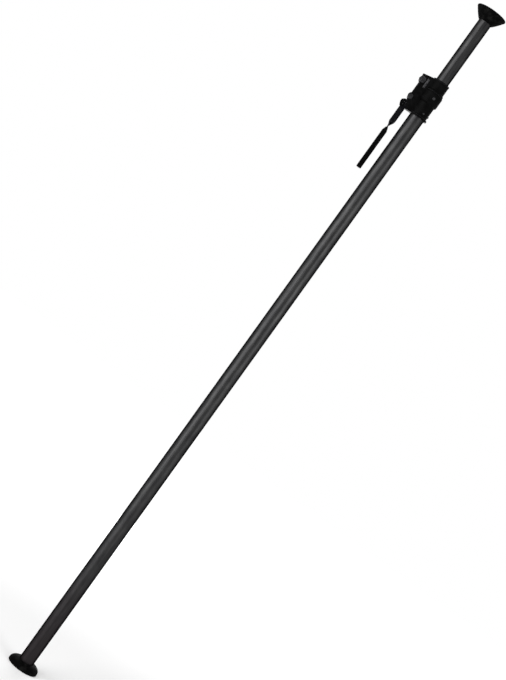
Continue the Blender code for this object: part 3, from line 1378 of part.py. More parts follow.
def build_catch(catch_axis, lever_axis):
    """Safety catch: a thumb tab that straddles the blade, on its own pin with a spring."""
    x, z = CATCH_PIVOT.x, CATCH_PIVOT.z
    left, right = x - CATCH_REACH, x + CATCH_BACK
    low, high = z - CATCH_LOW, z + CATCH_HIGH
    outline = [
        (left + CATCH_BACK, high - CATCH_BACK / 2),
        (left + GAP, high - CATCH_LOW),
        (left, z + CATCH_BACK),
        (left + CATCH_BACK / 2, z - CATCH_PIN_RADIUS),
        (left + CATCH_BACK, low),
        (x, low),
        (right, z - CATCH_LOW / 2),
        (right, z + CATCH_PIN_RADIUS),
        (x + CATCH_BACK / 2, z + CATCH_BACK),
        (x + CATCH_PIN_RADIUS, high),
        (x - CATCH_PIN_RADIUS, high),
    ]
    catch_half = SLOT_HALF + CATCH_CHEEK
    catch = part("safety_catch", side_block(outline, -catch_half, catch_half), "grip_plastic", catch_axis)
    throat = box(
        (left + CATCH_WEB, -SLOT_HALF, low - CUT_OVERRUN),
        (right + CUT_OVERRUN, SLOT_HALF, high + CUT_OVERRUN),
    )
    cut(catch, throat)
    cut(catch, cross_rod(CATCH_PIN_RADIUS + GAP, CATCH_PIVOT, catch_half + CUT_OVERRUN, TINY_STEPS))
    pin = cross_rod(CATCH_PIN_RADIUS, CATCH_PIVOT, catch_half, TINY_STEPS)
    part("catch_pin", pin, "black_steel", lever_axis)
    near = BLADE_THICK / 2 + GAP + CATCH_SPRING_WIRE
    far = SLOT_HALF - GAP - CATCH_SPRING_WIRE
    points = coil_points(CATCH_PIN_RADIUS + GAP + CATCH_SPRING_WIRE, CATCH_SPRING_TURNS, near, far)
    say_coil_gap("catch_spring", points, CATCH_SPRING_WIRE)
    spring = moved(wire(points, CATCH_SPRING_WIRE), aimed((0, 1, 0), CATCH_PIVOT))
    part("catch_spring", spring, "spring_steel", lever_axis)


def build_mast(mast_axis):
    """Mast: inner tube, slider plug with rivets in its foot, plug and rubber head on top."""
    profile = tube_profile(INNER_TUBE_RADIUS, INNER_TUBE_BORE, INNER_TUBE_FOOT, INNER_TUBE_TOP)
    tube = part("inner_tube", turned(profile), "anodised_tube", mast_axis)
    level = INNER_TUBE_FOOT + SLIDER_SPIGOT / 2
    depth = INNER_TUBE_BORE - SLIDER_RIVET_DEPTH
    sides = {"left": math.pi, "right": 0.0}
    holes = [
        radial_rod(SLIDER_RIVET_RADIUS + GAP, angle, level, depth - GAP, INNER_TUBE_RADIUS + CUT_OVERRUN)
        for angle in sides.values()
    ]
    cut(tube, *holes)
    flange = LOWER_TUBE_BORE - GAP
    spigot = INNER_TUBE_BORE - GAP
    flange_top = INNER_TUBE_FOOT - GAP
    slider = [
        (spigot, flange_top + SLIDER_SPIGOT),
        (spigot, flange_top),
        (flange, flange_top),
        (flange, flange_top - SLIDER_FLANGE),
        (SLIDER_BORE, flange_top - SLIDER_FLANGE),
        (SLIDER_BORE, flange_top + SLIDER_SPIGOT),
    ]
    slider = part("slider_plug", turned(slider), "nylon", mast_axis)
    cut(slider, *holes)
    for name, angle in sides.items():
        rivet = radial_rod(SLIDER_RIVET_RADIUS, angle, level, depth, INNER_TUBE_RADIUS)
        part(f"slider_rivet_{name}", rivet, "black_steel", mast_axis)
    # The head is drawn the way a foot stands, and then turned over about X.
    flip = Matrix.Translation((0, 0, HEAD_TOP)) @ Matrix.Rotation(math.pi, 4, "X")
    head = rubber_end_profile(
        HEAD_RADIUS, HEAD_HEIGHT, HEAD_RIM_HEIGHT, HEAD_RIM_CHAMFER, HEAD_CONTACT,
        HEAD_HOLLOW, HEAD_HUB_RADIUS, INNER_TUBE_RADIUS + GAP, HEAD_LIP, HEAD_FLARE_POWER, False,
    )  # fmt: skip
    part("head_cup", moved(turned(head), flip), "rubber", mast_axis)
    plug = end_plug_profile(INNER_TUBE_BORE - GAP, HEAD_HOLLOW + END_WEB + GAP)
    part("head_plug", moved(turned(plug), flip), "nylon", mast_axis)
    end_fasteners("head", HEAD_HOLLOW, flip, mast_axis)


clear_scene()
PARTS = new_collection("floor_to_ceiling_pole")
CUTTERS = new_collection("cutters")
MATERIALS = make_materials()

build_foot()
build_lower_tube()
build_tube_rivets()
build_clamp_body()
build_guide_screws()
build_top_cap()
build_cap_screws()
build_guide_bush()
build_pins()
build_trigger_spring()

CARRIAGE_AXIS = axis_empty("carriage_axis", Vector((0.0, 0.0, CAGE_BOTTOM)))
RING_AXIS = axis_empty("ring_axis", Vector((0.0, 0.0, CAGE_BOTTOM + CAGE_LIP)), CARRIAGE_AXIS)
MAST_AXIS = axis_empty("mast_axis", Vector((0.0, 0.0, INNER_TUBE_FOOT)), RING_AXIS)
PLATE_AXIS = axis_empty("plate_axis", PLATE_PIVOT, CARRIAGE_AXIS)
TRIGGER_AXIS = axis_empty("trigger_axis", TRIGGER_PIVOT)
LEVER_AXIS = axis_empty("lever_axis", LEVER_PIVOT)
CATCH_AXIS = axis_empty("catch_axis", CATCH_PIVOT, LEVER_AXIS)

build_cage(CARRIAGE_AXIS)
build_jam_spring(CARRIAGE_AXIS)
build_turn_ring(RING_AXIS)
build_jam_plate(PLATE_AXIS)
build_mast(MAST_AXIS)
build_trigger(TRIGGER_AXIS)
build_lever(LEVER_AXIS)
build_catch(CATCH_AXIS, LEVER_AXIS)
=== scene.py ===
"""Studio scene of a telescopic floor-to-ceiling pole with a lever clamp.

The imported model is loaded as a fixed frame. Each sub-assembly below draws finer meshes in the place of
its CAD nodes and dresses them. The pieces inside the clamp and the tubes keep their CAD shape and get
the same finishes. Sizes are in metres, +Z is up, and the camera looks along +Y.
"""

import logging
import math
from collections.abc import Iterable
from dataclasses import dataclass, field, replace
from enum import Enum
from functools import lru_cache
import bmesh
import bpy
from mathutils import Matrix, Vector


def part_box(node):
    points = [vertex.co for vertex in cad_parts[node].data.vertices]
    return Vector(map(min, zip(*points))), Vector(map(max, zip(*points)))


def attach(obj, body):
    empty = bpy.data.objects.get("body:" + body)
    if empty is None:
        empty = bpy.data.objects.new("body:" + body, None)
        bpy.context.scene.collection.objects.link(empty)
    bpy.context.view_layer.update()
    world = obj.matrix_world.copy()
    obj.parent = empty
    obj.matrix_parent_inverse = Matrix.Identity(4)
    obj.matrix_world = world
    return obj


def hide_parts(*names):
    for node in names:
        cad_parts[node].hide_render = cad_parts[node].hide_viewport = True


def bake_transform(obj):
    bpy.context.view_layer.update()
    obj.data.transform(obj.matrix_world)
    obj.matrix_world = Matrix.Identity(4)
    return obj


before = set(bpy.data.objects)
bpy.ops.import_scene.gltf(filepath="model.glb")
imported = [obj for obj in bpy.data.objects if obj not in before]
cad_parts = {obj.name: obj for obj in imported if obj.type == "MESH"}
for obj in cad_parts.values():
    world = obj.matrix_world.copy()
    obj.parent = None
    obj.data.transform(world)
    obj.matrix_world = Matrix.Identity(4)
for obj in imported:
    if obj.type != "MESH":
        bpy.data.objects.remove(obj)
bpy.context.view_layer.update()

LOG = logging.getLogger("pole")
MM = 0.001
Point = tuple[float, float]
Place = tuple[float, float, float]
Colour = tuple[float, float, float, float]
Piece = bpy.types.Object
Socket = bpy.types.NodeSocket
# Middle, radius and share of paler colour of a spot: a painted highlight, partly wear at the knuckles
Spot = tuple[Vector, float, float]
# A point of a coil and the direction away from the coil's axis
Turn = tuple[Vector, Vector]
# Start and end of an arc, in degrees from +X, and its number of chords
Span = tuple[float, float, int]


# What the sub-assemblies share

# The front and the rear of a piece, and the direction from its rear to its front
SIDES = (-1, 1)
ACROSS = Vector((0.0, -1.0, 0.0))
# The gap between pieces, and how far a cutter stands out of the piece that it cuts
GAP = 0.3 * MM
OVER = 1.0 * MM
TUBE_RADIUS = 22.5 * MM
MAST_RADIUS = 19.5 * MM
LEVER_PIVOT = Vector((-49.2 * MM, 0.0, 1931.0 * MM)).freeze()
TRIGGER_PIVOT = Vector((-49.2 * MM, 0.0, 1989.0 * MM)).freeze()
CATCH_PIVOT = Vector((-54.7 * MM, 0.0, 1903.0 * MM)).freeze()


# Fineness of the meshes

FINE_ROUND_STEPS = 128
ROUND_STEPS = 96
HOLE_STEPS = 48
CORNER_STEPS = 4
ARC_STEPS = 10
SOFT_ANGLE = math.radians(35.0)
# A rounded corner takes at most this share of a side, or of half a bar's section.
SIDE_SHARE = 0.45
HALF_SHARE = 0.95
# A length below this is nothing.
SMALLEST = 0.0001 * MM
# A casting's points that are closer than this are one, and its faces that meet flatter are one face.
WELD = 0.004 * MM
FLAT_ANGLE = math.radians(0.6)
# Its edges that are sharper than this are rounded.
EDGE_ANGLE = math.radians(30.0)
EDGE_SEGMENTS = 3


# Marks of wear and of painted highlights on the meshes

WEAR_AND_HIGHLIGHT = "wear_and_painted_highlight"
# The widest face that is taken for a rounded edge, its least turn, and its share of wear
EDGE_WIDTH = 0.9 * MM
EDGE_TURN = math.radians(12.0)
EDGE_WEAR = 0.5


# Colour and nodes


def linear(code: str) -> Colour:
    """Turns an sRGB hex code into a linear colour.

    Args:
        code: Colour such as "#1c1c1e".

    Returns:
        The linear red, green, blue and an alpha of 1.
    """
    shares = [int(code[i : i + 2], 16) / 255 for i in (1, 3, 5)]
    red, green, blue = (s / 12.92 if s <= 0.04045 else ((s + 0.055) / 1.055) ** 2.4 for s in shares)
    return (red, green, blue, 1.0)


def per_metre(size: float) -> float:
    """Texture scale at which one feature of a pattern has this size in millimetres."""
    return 1.0 / (size * MM)


def add_node(
    tree: bpy.types.NodeTree, kind: str, settings: dict | None = None, inputs: dict | None = None
) -> bpy.types.Node:
    """Adds a node with its settings and links.

    Args:
        tree: The node tree.
        kind: Blender's type name of the node.
        settings: Values of the node's own properties.
        inputs: For each input, by name or number, its value or the output linked to it. Inputs 1 to 4 of
            a Map Range are where it starts and ends, and what it gives there. Inputs 6 and 7 of a Mix
            are its two colours.

    Returns:
        The new node.
    """
    node = tree.nodes.new(kind)
    for name, value in (settings or {}).items():
        setattr(node, name, value)
    for name, value in (inputs or {}).items():
        if isinstance(value, Socket):
            tree.links.new(value, node.inputs[name])
        else:
            node.inputs[name].default_value = value
    return node


# Finishes

# Where most values of a noise lie
MOST_NOISE = (0.3, 0.7)


@dataclass(frozen=True)
class Marks:
    """Random marks of a finish with a real size, and how much paler and how deep they make it."""

    # Size of a mark in millimetres, its finer layers, and how much longer it is along the pole
    size: float
    detail: float = 2.0
    along: float = 1.0
    # Values of the noise at which the paler colour starts and is full, and its full share
    where: Point = MOST_NOISE
    most: float = 0.0
    # Depth of the relief in millimetres
    depth: float = 0.0


# Rubbing breaks up into patches of this size. This share of it is everywhere on a rubbed edge.
RUBBING = Marks(5.0, detail=3.0, where=(0.28, 0.6))
LEAST_RUBBED = 0.15


@dataclass(frozen=True)
class Skin:
    """The nodes of one finish: tree, shader, coordinates in metres, and the marks drawn so far."""

    tree: bpy.types.NodeTree
    shader: bpy.types.Node
    place: Socket
    drawn: dict[Marks, Socket] = field(default_factory=dict)

    def noise(self, marks: Marks) -> Socket:
        """Draws marks, each kind once.

        Args:
            marks: The marks.

        Returns:
            Their noise, from 0 to 1.
        """
        if marks not in self.drawn:
            inputs = {"Vector": self.place, "Scale": (1.0, 1.0, 1 / marks.along)}
            mapped = add_node(self.tree, "ShaderNodeMapping", inputs=inputs).outputs["Vector"]
            inputs = {"Vector": mapped, "Scale": per_metre(marks.size), "Detail": marks.detail}
            self.drawn[marks] = add_node(self.tree, "ShaderNodeTexNoise", inputs=inputs).outputs["Fac"]
        return self.drawn[marks]

    def level(self, marks: Marks, where: Point, low: float, high: float) -> Socket:
        """A value that goes from low to high where the noise of some marks has these values."""
        inputs = {"Value": self.noise(marks), 1: where[0], 2: where[1], 3: low, 4: high}
        return add_node(self.tree, "ShaderNodeMapRange", inputs=inputs).outputs["Result"]

    def pale(self, marks: Marks) -> Socket:
        """Share of the paler colour that some marks give."""
        return self.level(marks, marks.where, 0.0, marks.most)

    def wear(self, most: float) -> Socket:
        """Share of wear and of painted highlight where the meshes mark it, broken up into patches.

        Args:
            most: Share where the wear is strongest.

        Returns:
            The share.
        """
        marked = add_node(self.tree, "ShaderNodeAttribute", {"attribute_name": WEAR_AND_HIGHLIGHT}).outputs["Fac"]
        inputs = {0: marked, 1: self.level(RUBBING, RUBBING.where, LEAST_RUBBED * most, most)}
        return add_node(self.tree, "ShaderNodeMath", {"operation": "MULTIPLY"}, inputs).outputs["Value"]

    def tint(self, colour: str, worn: str, shares: list[Socket]) -> None:
        """Links the base colour: the finish's own, and paler by the largest of some shares.

        Args:
            colour: The finish's own colour.
            worn: Its paler colour.
            shares: How far each place goes to the paler colour.
        """
        share = shares[0]
        for other in shares[1:]:
            inputs = {0: share, 1: other}
            share = add_node(self.tree, "ShaderNodeMath", {"operation": "MAXIMUM"}, inputs).outputs["Value"]
        inputs = {0: share, 6: linear(colour), 7: linear(worn)}
        mixed = add_node(self.tree, "ShaderNodeMix", {"data_type": "RGBA"}, inputs)
        self.tree.links.new(mixed.outputs[2], self.shader.inputs["Base Color"])

    def relief(self, strength: float, texture: Iterable[Marks]) -> None:
        """Links bumps to the shader, one on the other.

        Args:
            strength: Strength of each bump.
            texture: Its marks.
        """
        normal = None
        for marks in texture:
            inputs = {"Height": self.noise(marks), "Distance": marks.depth * MM, "Strength": strength}
            if normal is not None:
                inputs["Normal"] = normal
            normal = add_node(self.tree, "ShaderNodeBump", inputs=inputs).outputs["Normal"]
        self.tree.links.new(normal, self.shader.inputs["Normal"])


@dataclass(frozen=True)
class Finish:
    """What every finish has: colours, gloss, patches, a texture and wear on its edges."""

    name: str
    slot: str
    colour: str
    worn: str
    roughness: float
    # Marks that change its colour and gloss, and marks that have a relief
    patches: Marks
    texture: tuple[Marks, ...]
    metallic: float = 0.0
    # Index and mirror of a finish that isn't a metal. A metal keeps the shader's own.
    ior: float = 1.5
    specular: float = 0.5
    # Tint of a metal's mirror at grazing angles
    edge_tint: str = "#ffffff"
    # How much rougher it is where the patches' noise is low, and where it is high
    gloss: Point | None = None
    # Strength of the texture's relief, and share of the paler colour on worn edges and on painted
    # highlights
    strength: float = 0.6
    wear: float = 1.0

    def material(self) -> bpy.types.Material:
        """Builds the material of the finish.

        Returns:
            The material, with its pattern linked to the shader.
        """
        made = bpy.data.materials.new(self.name)
        made.use_nodes = True
        made.diffuse_color = linear(self.colour)
        tree = made.node_tree
        tree.nodes.clear()
        inputs = {"Metallic": self.metallic, "Roughness": self.roughness, "Base Color": linear(self.colour)}
        if self.metallic:
            inputs["Specular Tint"] = linear(self.edge_tint)
        else:
            inputs |= {"IOR": self.ior, "Specular IOR Level": self.specular}
        shader = add_node(tree, "ShaderNodeBsdfPrincipled", inputs=inputs)
        add_node(tree, "ShaderNodeOutputMaterial", inputs={"Surface": shader.outputs["BSDF"]})
        self.pattern(Skin(tree, shader, add_node(tree, "ShaderNodeTexCoord").outputs["Object"]))
        return made

    def pattern(self, skin: Skin) -> None:
        """Links gloss, colour and relief to the shader.

        Args:
            skin: The material's nodes.
        """
        if self.gloss is not None:
            low, high = (self.roughness + more for more in self.gloss)
            rough = skin.level(self.patches, MOST_NOISE, low, high)
            skin.tree.links.new(rough, skin.shader.inputs["Roughness"])
        shares = self.shares(skin)
        if self.wear:
            shares.append(skin.wear(self.wear))
        skin.tint(self.colour, self.worn, shares)
        skin.relief(self.strength, self.texture)

    def shares(self, skin: Skin) -> list[Socket]:
        """Shares of the paler colour that the marks give."""
        return [skin.pale(self.patches)]


@dataclass(frozen=True)
class AnodisedTube(Finish):
    """Drawn aluminium tube, etched satin and anodised black: a dark metal with soft lengthwise lines."""

    name: str = "anodised_aluminium_drawn_black"
    slot: str = "anodised_tube"
    colour: str = "#242425"
    worn: str = "#3b3b3b"
    faded: str = "#2a2426"
    roughness: float = 0.39
    metallic: float = 1.0
    # The oxide layer is dark, so the metal doesn't turn pale at its edges as bare metal does.
    edge_tint: str = "#4a4a4b"
    # Handling leaves patches about as wide as a palm, a little glossier.
    patches: Marks = Marks(85.0, detail=3.0, along=2.5)
    gloss: Point = (0.05, -0.04)
    # Die lines of a real tube are about 0.1 mm apart. They are drawn coarser, so that they show.
    texture: tuple[Marks, ...] = (
        Marks(2.5, along=160.0, where=(0.3, 0.75), most=0.5, depth=0.05),
        Marks(0.5, detail=1.0, along=300.0, depth=0.012),
    )
    clouds: Marks = Marks(13.0, detail=3.0, along=3.0, where=(0.35, 0.7), most=0.4)
    # The guide bush scuffs the mast lengthwise.
    scuffs: Marks | None = None
    # Levels, from the tube's holes, between which the dye is faded, and how far at most
    fade_from: Point = (-1.86, -1.55)
    fade_most: float = 0.55

    def shares(self, skin: Skin) -> list[Socket]:
        """Shares of the paler colour: die lines and clouds together, and scuffs.

        Args:
            skin: The material's nodes.

        Returns:
            The shares.
        """
        inputs = {0: skin.pale(self.texture[0]), 1: skin.pale(self.clouds)}
        both = {"operation": "ADD", "use_clamp": True}
        shares = [add_node(skin.tree, "ShaderNodeMath", both, inputs).outputs["Value"]]
        if self.scuffs is not None:
            shares.append(skin.pale(self.scuffs))
        return shares

    def pattern(self, skin: Skin) -> None:
        """Links the pattern, and a dye turned purple at the foot, where light and mopping fade it.

        Args:
            skin: The material's nodes, whose coordinates start at the level of the tube's holes.
        """
        super().pattern(skin)
        height = add_node(skin.tree, "ShaderNodeSeparateXYZ", inputs={0: skin.place}).outputs["Z"]
        start, end = self.fade_from
        inputs = {"Value": height, 1: start, 2: end, 3: self.fade_most, 4: 0.0}
        share = add_node(skin.tree, "ShaderNodeMapRange", inputs=inputs).outputs["Result"]
        dyed = skin.shader.inputs["Base Color"].links[0].from_socket
        inputs = {0: share, 6: dyed, 7: linear(self.faded)}
        mixed = add_node(skin.tree, "ShaderNodeMix", {"data_type": "RGBA"}, inputs)
        skin.tree.links.new(mixed.outputs[2], skin.shader.inputs["Base Color"])


@dataclass(frozen=True)
class MouldedRubber(Finish):
    """Compression-moulded black rubber: matt, with a fine grain and a grey bloom in patches."""

    name: str = "rubber_moulded_black"
    slot: str = "rubber"
    colour: str = "#040404"
    worn: str = "#1e1e1d"
    roughness: float = 0.74
    # Rubber's own index, and a weak mirror because its surface is rough all over.
    ior: float = 1.52
    specular: float = 0.016
    patches: Marks = Marks(14.0, detail=4.0, where=(0.48, 0.75), most=0.6)
    gloss: Point = (-0.06, 0.1)
    # The mould's grain is about 0.2 mm. It is drawn coarser, so that it shows.
    texture: tuple[Marks, ...] = (Marks(0.9, depth=0.08),)
    strength: float = 0.7
    wear: float = 0.9


@dataclass(frozen=True)
class PowderCoatedCasting(Finish):
    """Die-cast metal under black powder coat: a low orange-peel skin, rubbed paler on its edges, with
    painted highlights in spots.
    """

    name: str = "die_casting_powder_coated_black"
    slot: str = "cast_black"
    colour: str = "#050505"
    # Paler colour of worn edges, also used for the painted highlights in spots.
    worn: str = "#424244"
    roughness: float = 0.46
    specular: float = 0.018
    patches: Marks = Marks(18.0, detail=3.0, where=(0.45, 0.75), most=0.05)
    gloss: Point = (-0.05, 0.08)
    # Orange peel, and powder grains under 0.1 mm, drawn coarser so that they break up the gloss.
    texture: tuple[Marks, ...] = (Marks(1.8, depth=0.06), Marks(0.35, detail=1.0, depth=0.012))
    strength: float = 0.8
    wear: float = 0.85


# Glass fibres are too thin to show, so the marks that they leave are drawn 0.6 mm wide.
FLOW = Marks(0.6, detail=3.0, along=6.0, where=(0.55, 0.8), most=0.6, depth=0.03)


@dataclass(frozen=True)
class GlassFilledNylon(Finish):
    """Injection-moulded glass-filled nylon: dull black with short pale flow marks."""

    name: str = "nylon_glass_filled_moulded_black"
    slot: str = "nylon"
    colour: str = "#0b0b0c"
    worn: str = "#222224"
    roughness: float = 0.52
    ior: float = 1.53
    specular: float = 0.025
    patches: Marks = FLOW
    texture: tuple[Marks, ...] = (FLOW,)
    strength: float = 0.7
    wear: float = 0.7


@dataclass(frozen=True)
class BlackenedSteel(Finish):
    """Steel in black oxide under oil: a dark satin metal, stained by the oil and brighter where it rubs."""

    name: str = "steel_black_oxide"
    slot: str = "black_steel"
    colour: str = "#101012"
    worn: str = "#525253"
    roughness: float = 0.38
    metallic: float = 1.0
    edge_tint: str = "#565657"
    patches: Marks = Marks(9.0, detail=4.0, where=(0.5, 0.85), most=0.25)
    gloss: Point = (-0.07, 0.09)
    # Rolling and grinding lines are finer than this. They are drawn 0.8 mm apart, so that they show.
    texture: tuple[Marks, ...] = (Marks(0.8, along=14.0, depth=0.03),)


# Draw marks are finer than the wire. They are drawn 0.4 mm wide, so that they show.
DRAWN = Marks(0.4, detail=3.0, where=(0.5, 0.8), most=0.8, depth=0.01)


@dataclass(frozen=True)
class DrawnSpringSteel(Finish):
    """Hard-drawn spring steel: bright grey with a fine lengthwise draw and dull spots."""

    name: str = "steel_spring_drawn"
    slot: str = "spring_steel"
    colour: str = "#959597"
    worn: str = "#b9b9ba"
    roughness: float = 0.3
    metallic: float = 1.0
    patches: Marks = DRAWN
    gloss: Point = (-0.05, 0.1)
    texture: tuple[Marks, ...] = (DRAWN,)
    wear: float = 0.0


@dataclass(frozen=True)
class SparkErodedPlastic(Finish):
    """Polypropylene from a spark-eroded mould: black with a fine even grain, shinier where it is held."""

    name: str = "polypropylene_moulded_black"
    slot: str = "grip_plastic"
    colour: str = "#030303"
    worn: str = "#1c1c1e"
    roughness: float = 0.5
    ior: float = 1.49
    specular: float = 0.016
    patches: Marks = Marks(22.0, detail=3.0, where=(0.5, 0.8), most=0.3)
    gloss: Point = (0.1, -0.1)
    # The mould's grain is about 0.15 mm. It is drawn coarser, so that it shows.
    texture: tuple[Marks, ...] = (Marks(0.7, detail=1.0, depth=0.04),)
    strength: float = 0.7
    wear: float = 0.8


TUBE = AnodisedTube()
MAST = AnodisedTube(
    name="anodised_aluminium_mast_black",
    # Its colour is a little darker than the lower tube's: painted shade.
    colour="#202021",
    texture=(replace(TUBE.texture[0], size=2.0), TUBE.texture[1]),
    scuffs=Marks(0.9, detail=4.0, along=45.0, where=(0.62, 0.8), most=1.0),
)
RUBBER = MouldedRubber()
CASTING = PowderCoatedCasting()
NYLON = GlassFilledNylon()
STEEL = BlackenedSteel()
HEADS = BlackenedSteel(
    name="steel_black_oxide_turned", colour="#29292a", texture=(Marks(0.5, depth=0.03),)
)
SPRING = DrawnSpringSteel()
PLASTIC = SparkErodedPlastic()


@lru_cache(maxsize=None)
def material_of(finish: Finish) -> bpy.types.Material:
    """The one material of a finish."""
    return finish.material()


# Shop tools


class View(Enum):
    """Which way a flat outline faces: seen from the side, in x and z, or from above, in x and y."""

    SIDE = "side"
    PLAN = "plan"


class Work(Enum):
    """What a tool does to the piece it meets."""

    CUT = "DIFFERENCE"
    JOIN = "UNION"


def new_object(name: str, points: list[Place], faces: list[list[int]]) -> Piece:
    """Links a mesh object of these points and faces, its faces turned outwards.

    Args:
        name: The object's name.
        points: Places of its vertices.
        faces: Vertex numbers of each face.

    Returns:
        The object.
    """
    mesh = bpy.data.meshes.new(name)
    mesh.from_pydata(points, [], faces)
    form = bmesh.new()
    form.from_mesh(mesh)
    bmesh.ops.recalc_face_normals(form, faces=form.faces)
    form.to_mesh(mesh)
    form.free()
    obj = bpy.data.objects.new(name, mesh)
    bpy.context.scene.collection.objects.link(obj)
    return obj


def rectangle(across: Point, up: Point) -> list[Point]:
    """The corners of a rectangle between two values each way."""
    return [(across[0], up[0]), (across[1], up[0]), (across[1], up[1]), (across[0], up[1])]


def gentle(share: float) -> float:
    """A share that starts and ends slowly."""
    return share * share * (3 - 2 * share)


def bar(name: str, rings: list[list[Place]]) -> Piece:
    """Skins a closed bar over rings of as many points each, with a flat face on both ends.

    Args:
        name: The object's name.
        rings: The rings in order.

    Returns:
        The object.
    """
    size = len(rings[0])
    points = [point for ring in rings for point in ring]
    faces = []
    for start in range(0, len(points) - size, size):
        for i in range(size):
            j = (i + 1) % size
            faces.append([start + i, start + j, start + size + j, start + size + i])
    faces += [list(range(size)), list(range(len(points) - size, len(points)))]
    return new_object(name, points, faces)


def arc(centre: Point, radius: float, start: float, end: float, steps: int = 24) -> list[Point]:
    """Points of a circular arc of so many chords, from one angle in degrees to another."""
    angles = [math.radians(start + (end - start) * i / steps) for i in range(steps + 1)]
    return [(centre[0] + radius * math.cos(a), centre[1] + radius * math.sin(a)) for a in angles]


def eased(points: list[Point], radius: float, closed: bool = True, least: float = 14.0) -> list[Point]:
    """Rounds the corners of an outline.

    Args:
        points: Its corners in order.
        radius: Radius of each rounded corner, less where the sides are short.
        closed: Whether the last corner joins the first.
        least: Corners that turn less than this, in degrees, stay.

    Returns:
        The rounded outline.
    """
    done: list[Point] = []
    count = len(points)
    for i, corner in enumerate(points):
        if not closed and i in (0, count - 1):
            done.append(corner)
            continue
        here = Vector(corner)
        back, on = Vector(points[i - 1]) - here, Vector(points[(i + 1) % count]) - here
        turn = math.pi - back.angle(on, math.pi)
        if turn < math.radians(least):
            done.append(corner)
            continue
        reach = min(radius * math.tan(turn / 2), SIDE_SHARE * back.length, SIDE_SHARE * on.length)
        start, end = here + back.normalized() * reach, here + on.normalized() * reach
        for k in range(CORNER_STEPS + 1):
            t = k / CORNER_STEPS
            done.append(tuple(start * (1 - t) ** 2 + here * 2 * t * (1 - t) + end * t**2))
    return done


def drawn_in(points: list[Point], amount: float) -> list[Point]:
    """Moves a closed outline inwards.

    Args:
        points: The outline.
        amount: How far it moves.

    Returns:
        The smaller outline.
    """
    if amount <= 0:
        return list(points)
    count = len(points)
    area = sum(points[i - 1][0] * points[i][1] - points[i][0] * points[i - 1][1] for i in range(count))
    sign = 1.0 if area > 0 else -1.0
    moved = []
    for i, corner in enumerate(points):
        here = Vector(corner)
        before, after = here - Vector(points[i - 1]), Vector(points[(i + 1) % count]) - here
        one = Vector((-before.y, before.x)).normalized() * sign
        two = Vector((-after.y, after.x)).normalized() * sign
        both = one + two
        moved.append(tuple(here + both * (amount / max(0.5, 1 + one.dot(two)))))
    return moved


@dataclass(frozen=True)
class Section:
    """A rounded rectangle across a bar: half sizes in x and y, middle in x, and twist in degrees."""

    level: float
    wide: float
    deep: float
    corner: float
    middle: float
    twist: float = 0.0

    def ring(self, base: float) -> list[Place]:
        """The section's points.

        Args:
            base: Level from which heights are counted.

        Returns:
            The points in order.
        """
        corner = min(self.corner, self.wide * HALF_SHARE, self.deep * HALF_SHARE)
        loop: list[Point] = []
        for start, sx, sy in ((0.0, 1, 1), (90.0, -1, 1), (180.0, -1, -1), (270.0, 1, -1)):
            centre = (sx * (self.wide - corner), sy * (self.deep - corner))
            loop += arc(centre, corner, start, start + 90.0, CORNER_STEPS + 1)
        cos, sin = math.cos(math.radians(self.twist)), math.sin(math.radians(self.twist))
        height = self.level - base
        return [(self.middle + x * cos - y * sin, x * sin + y * cos, height) for x, y in loop]


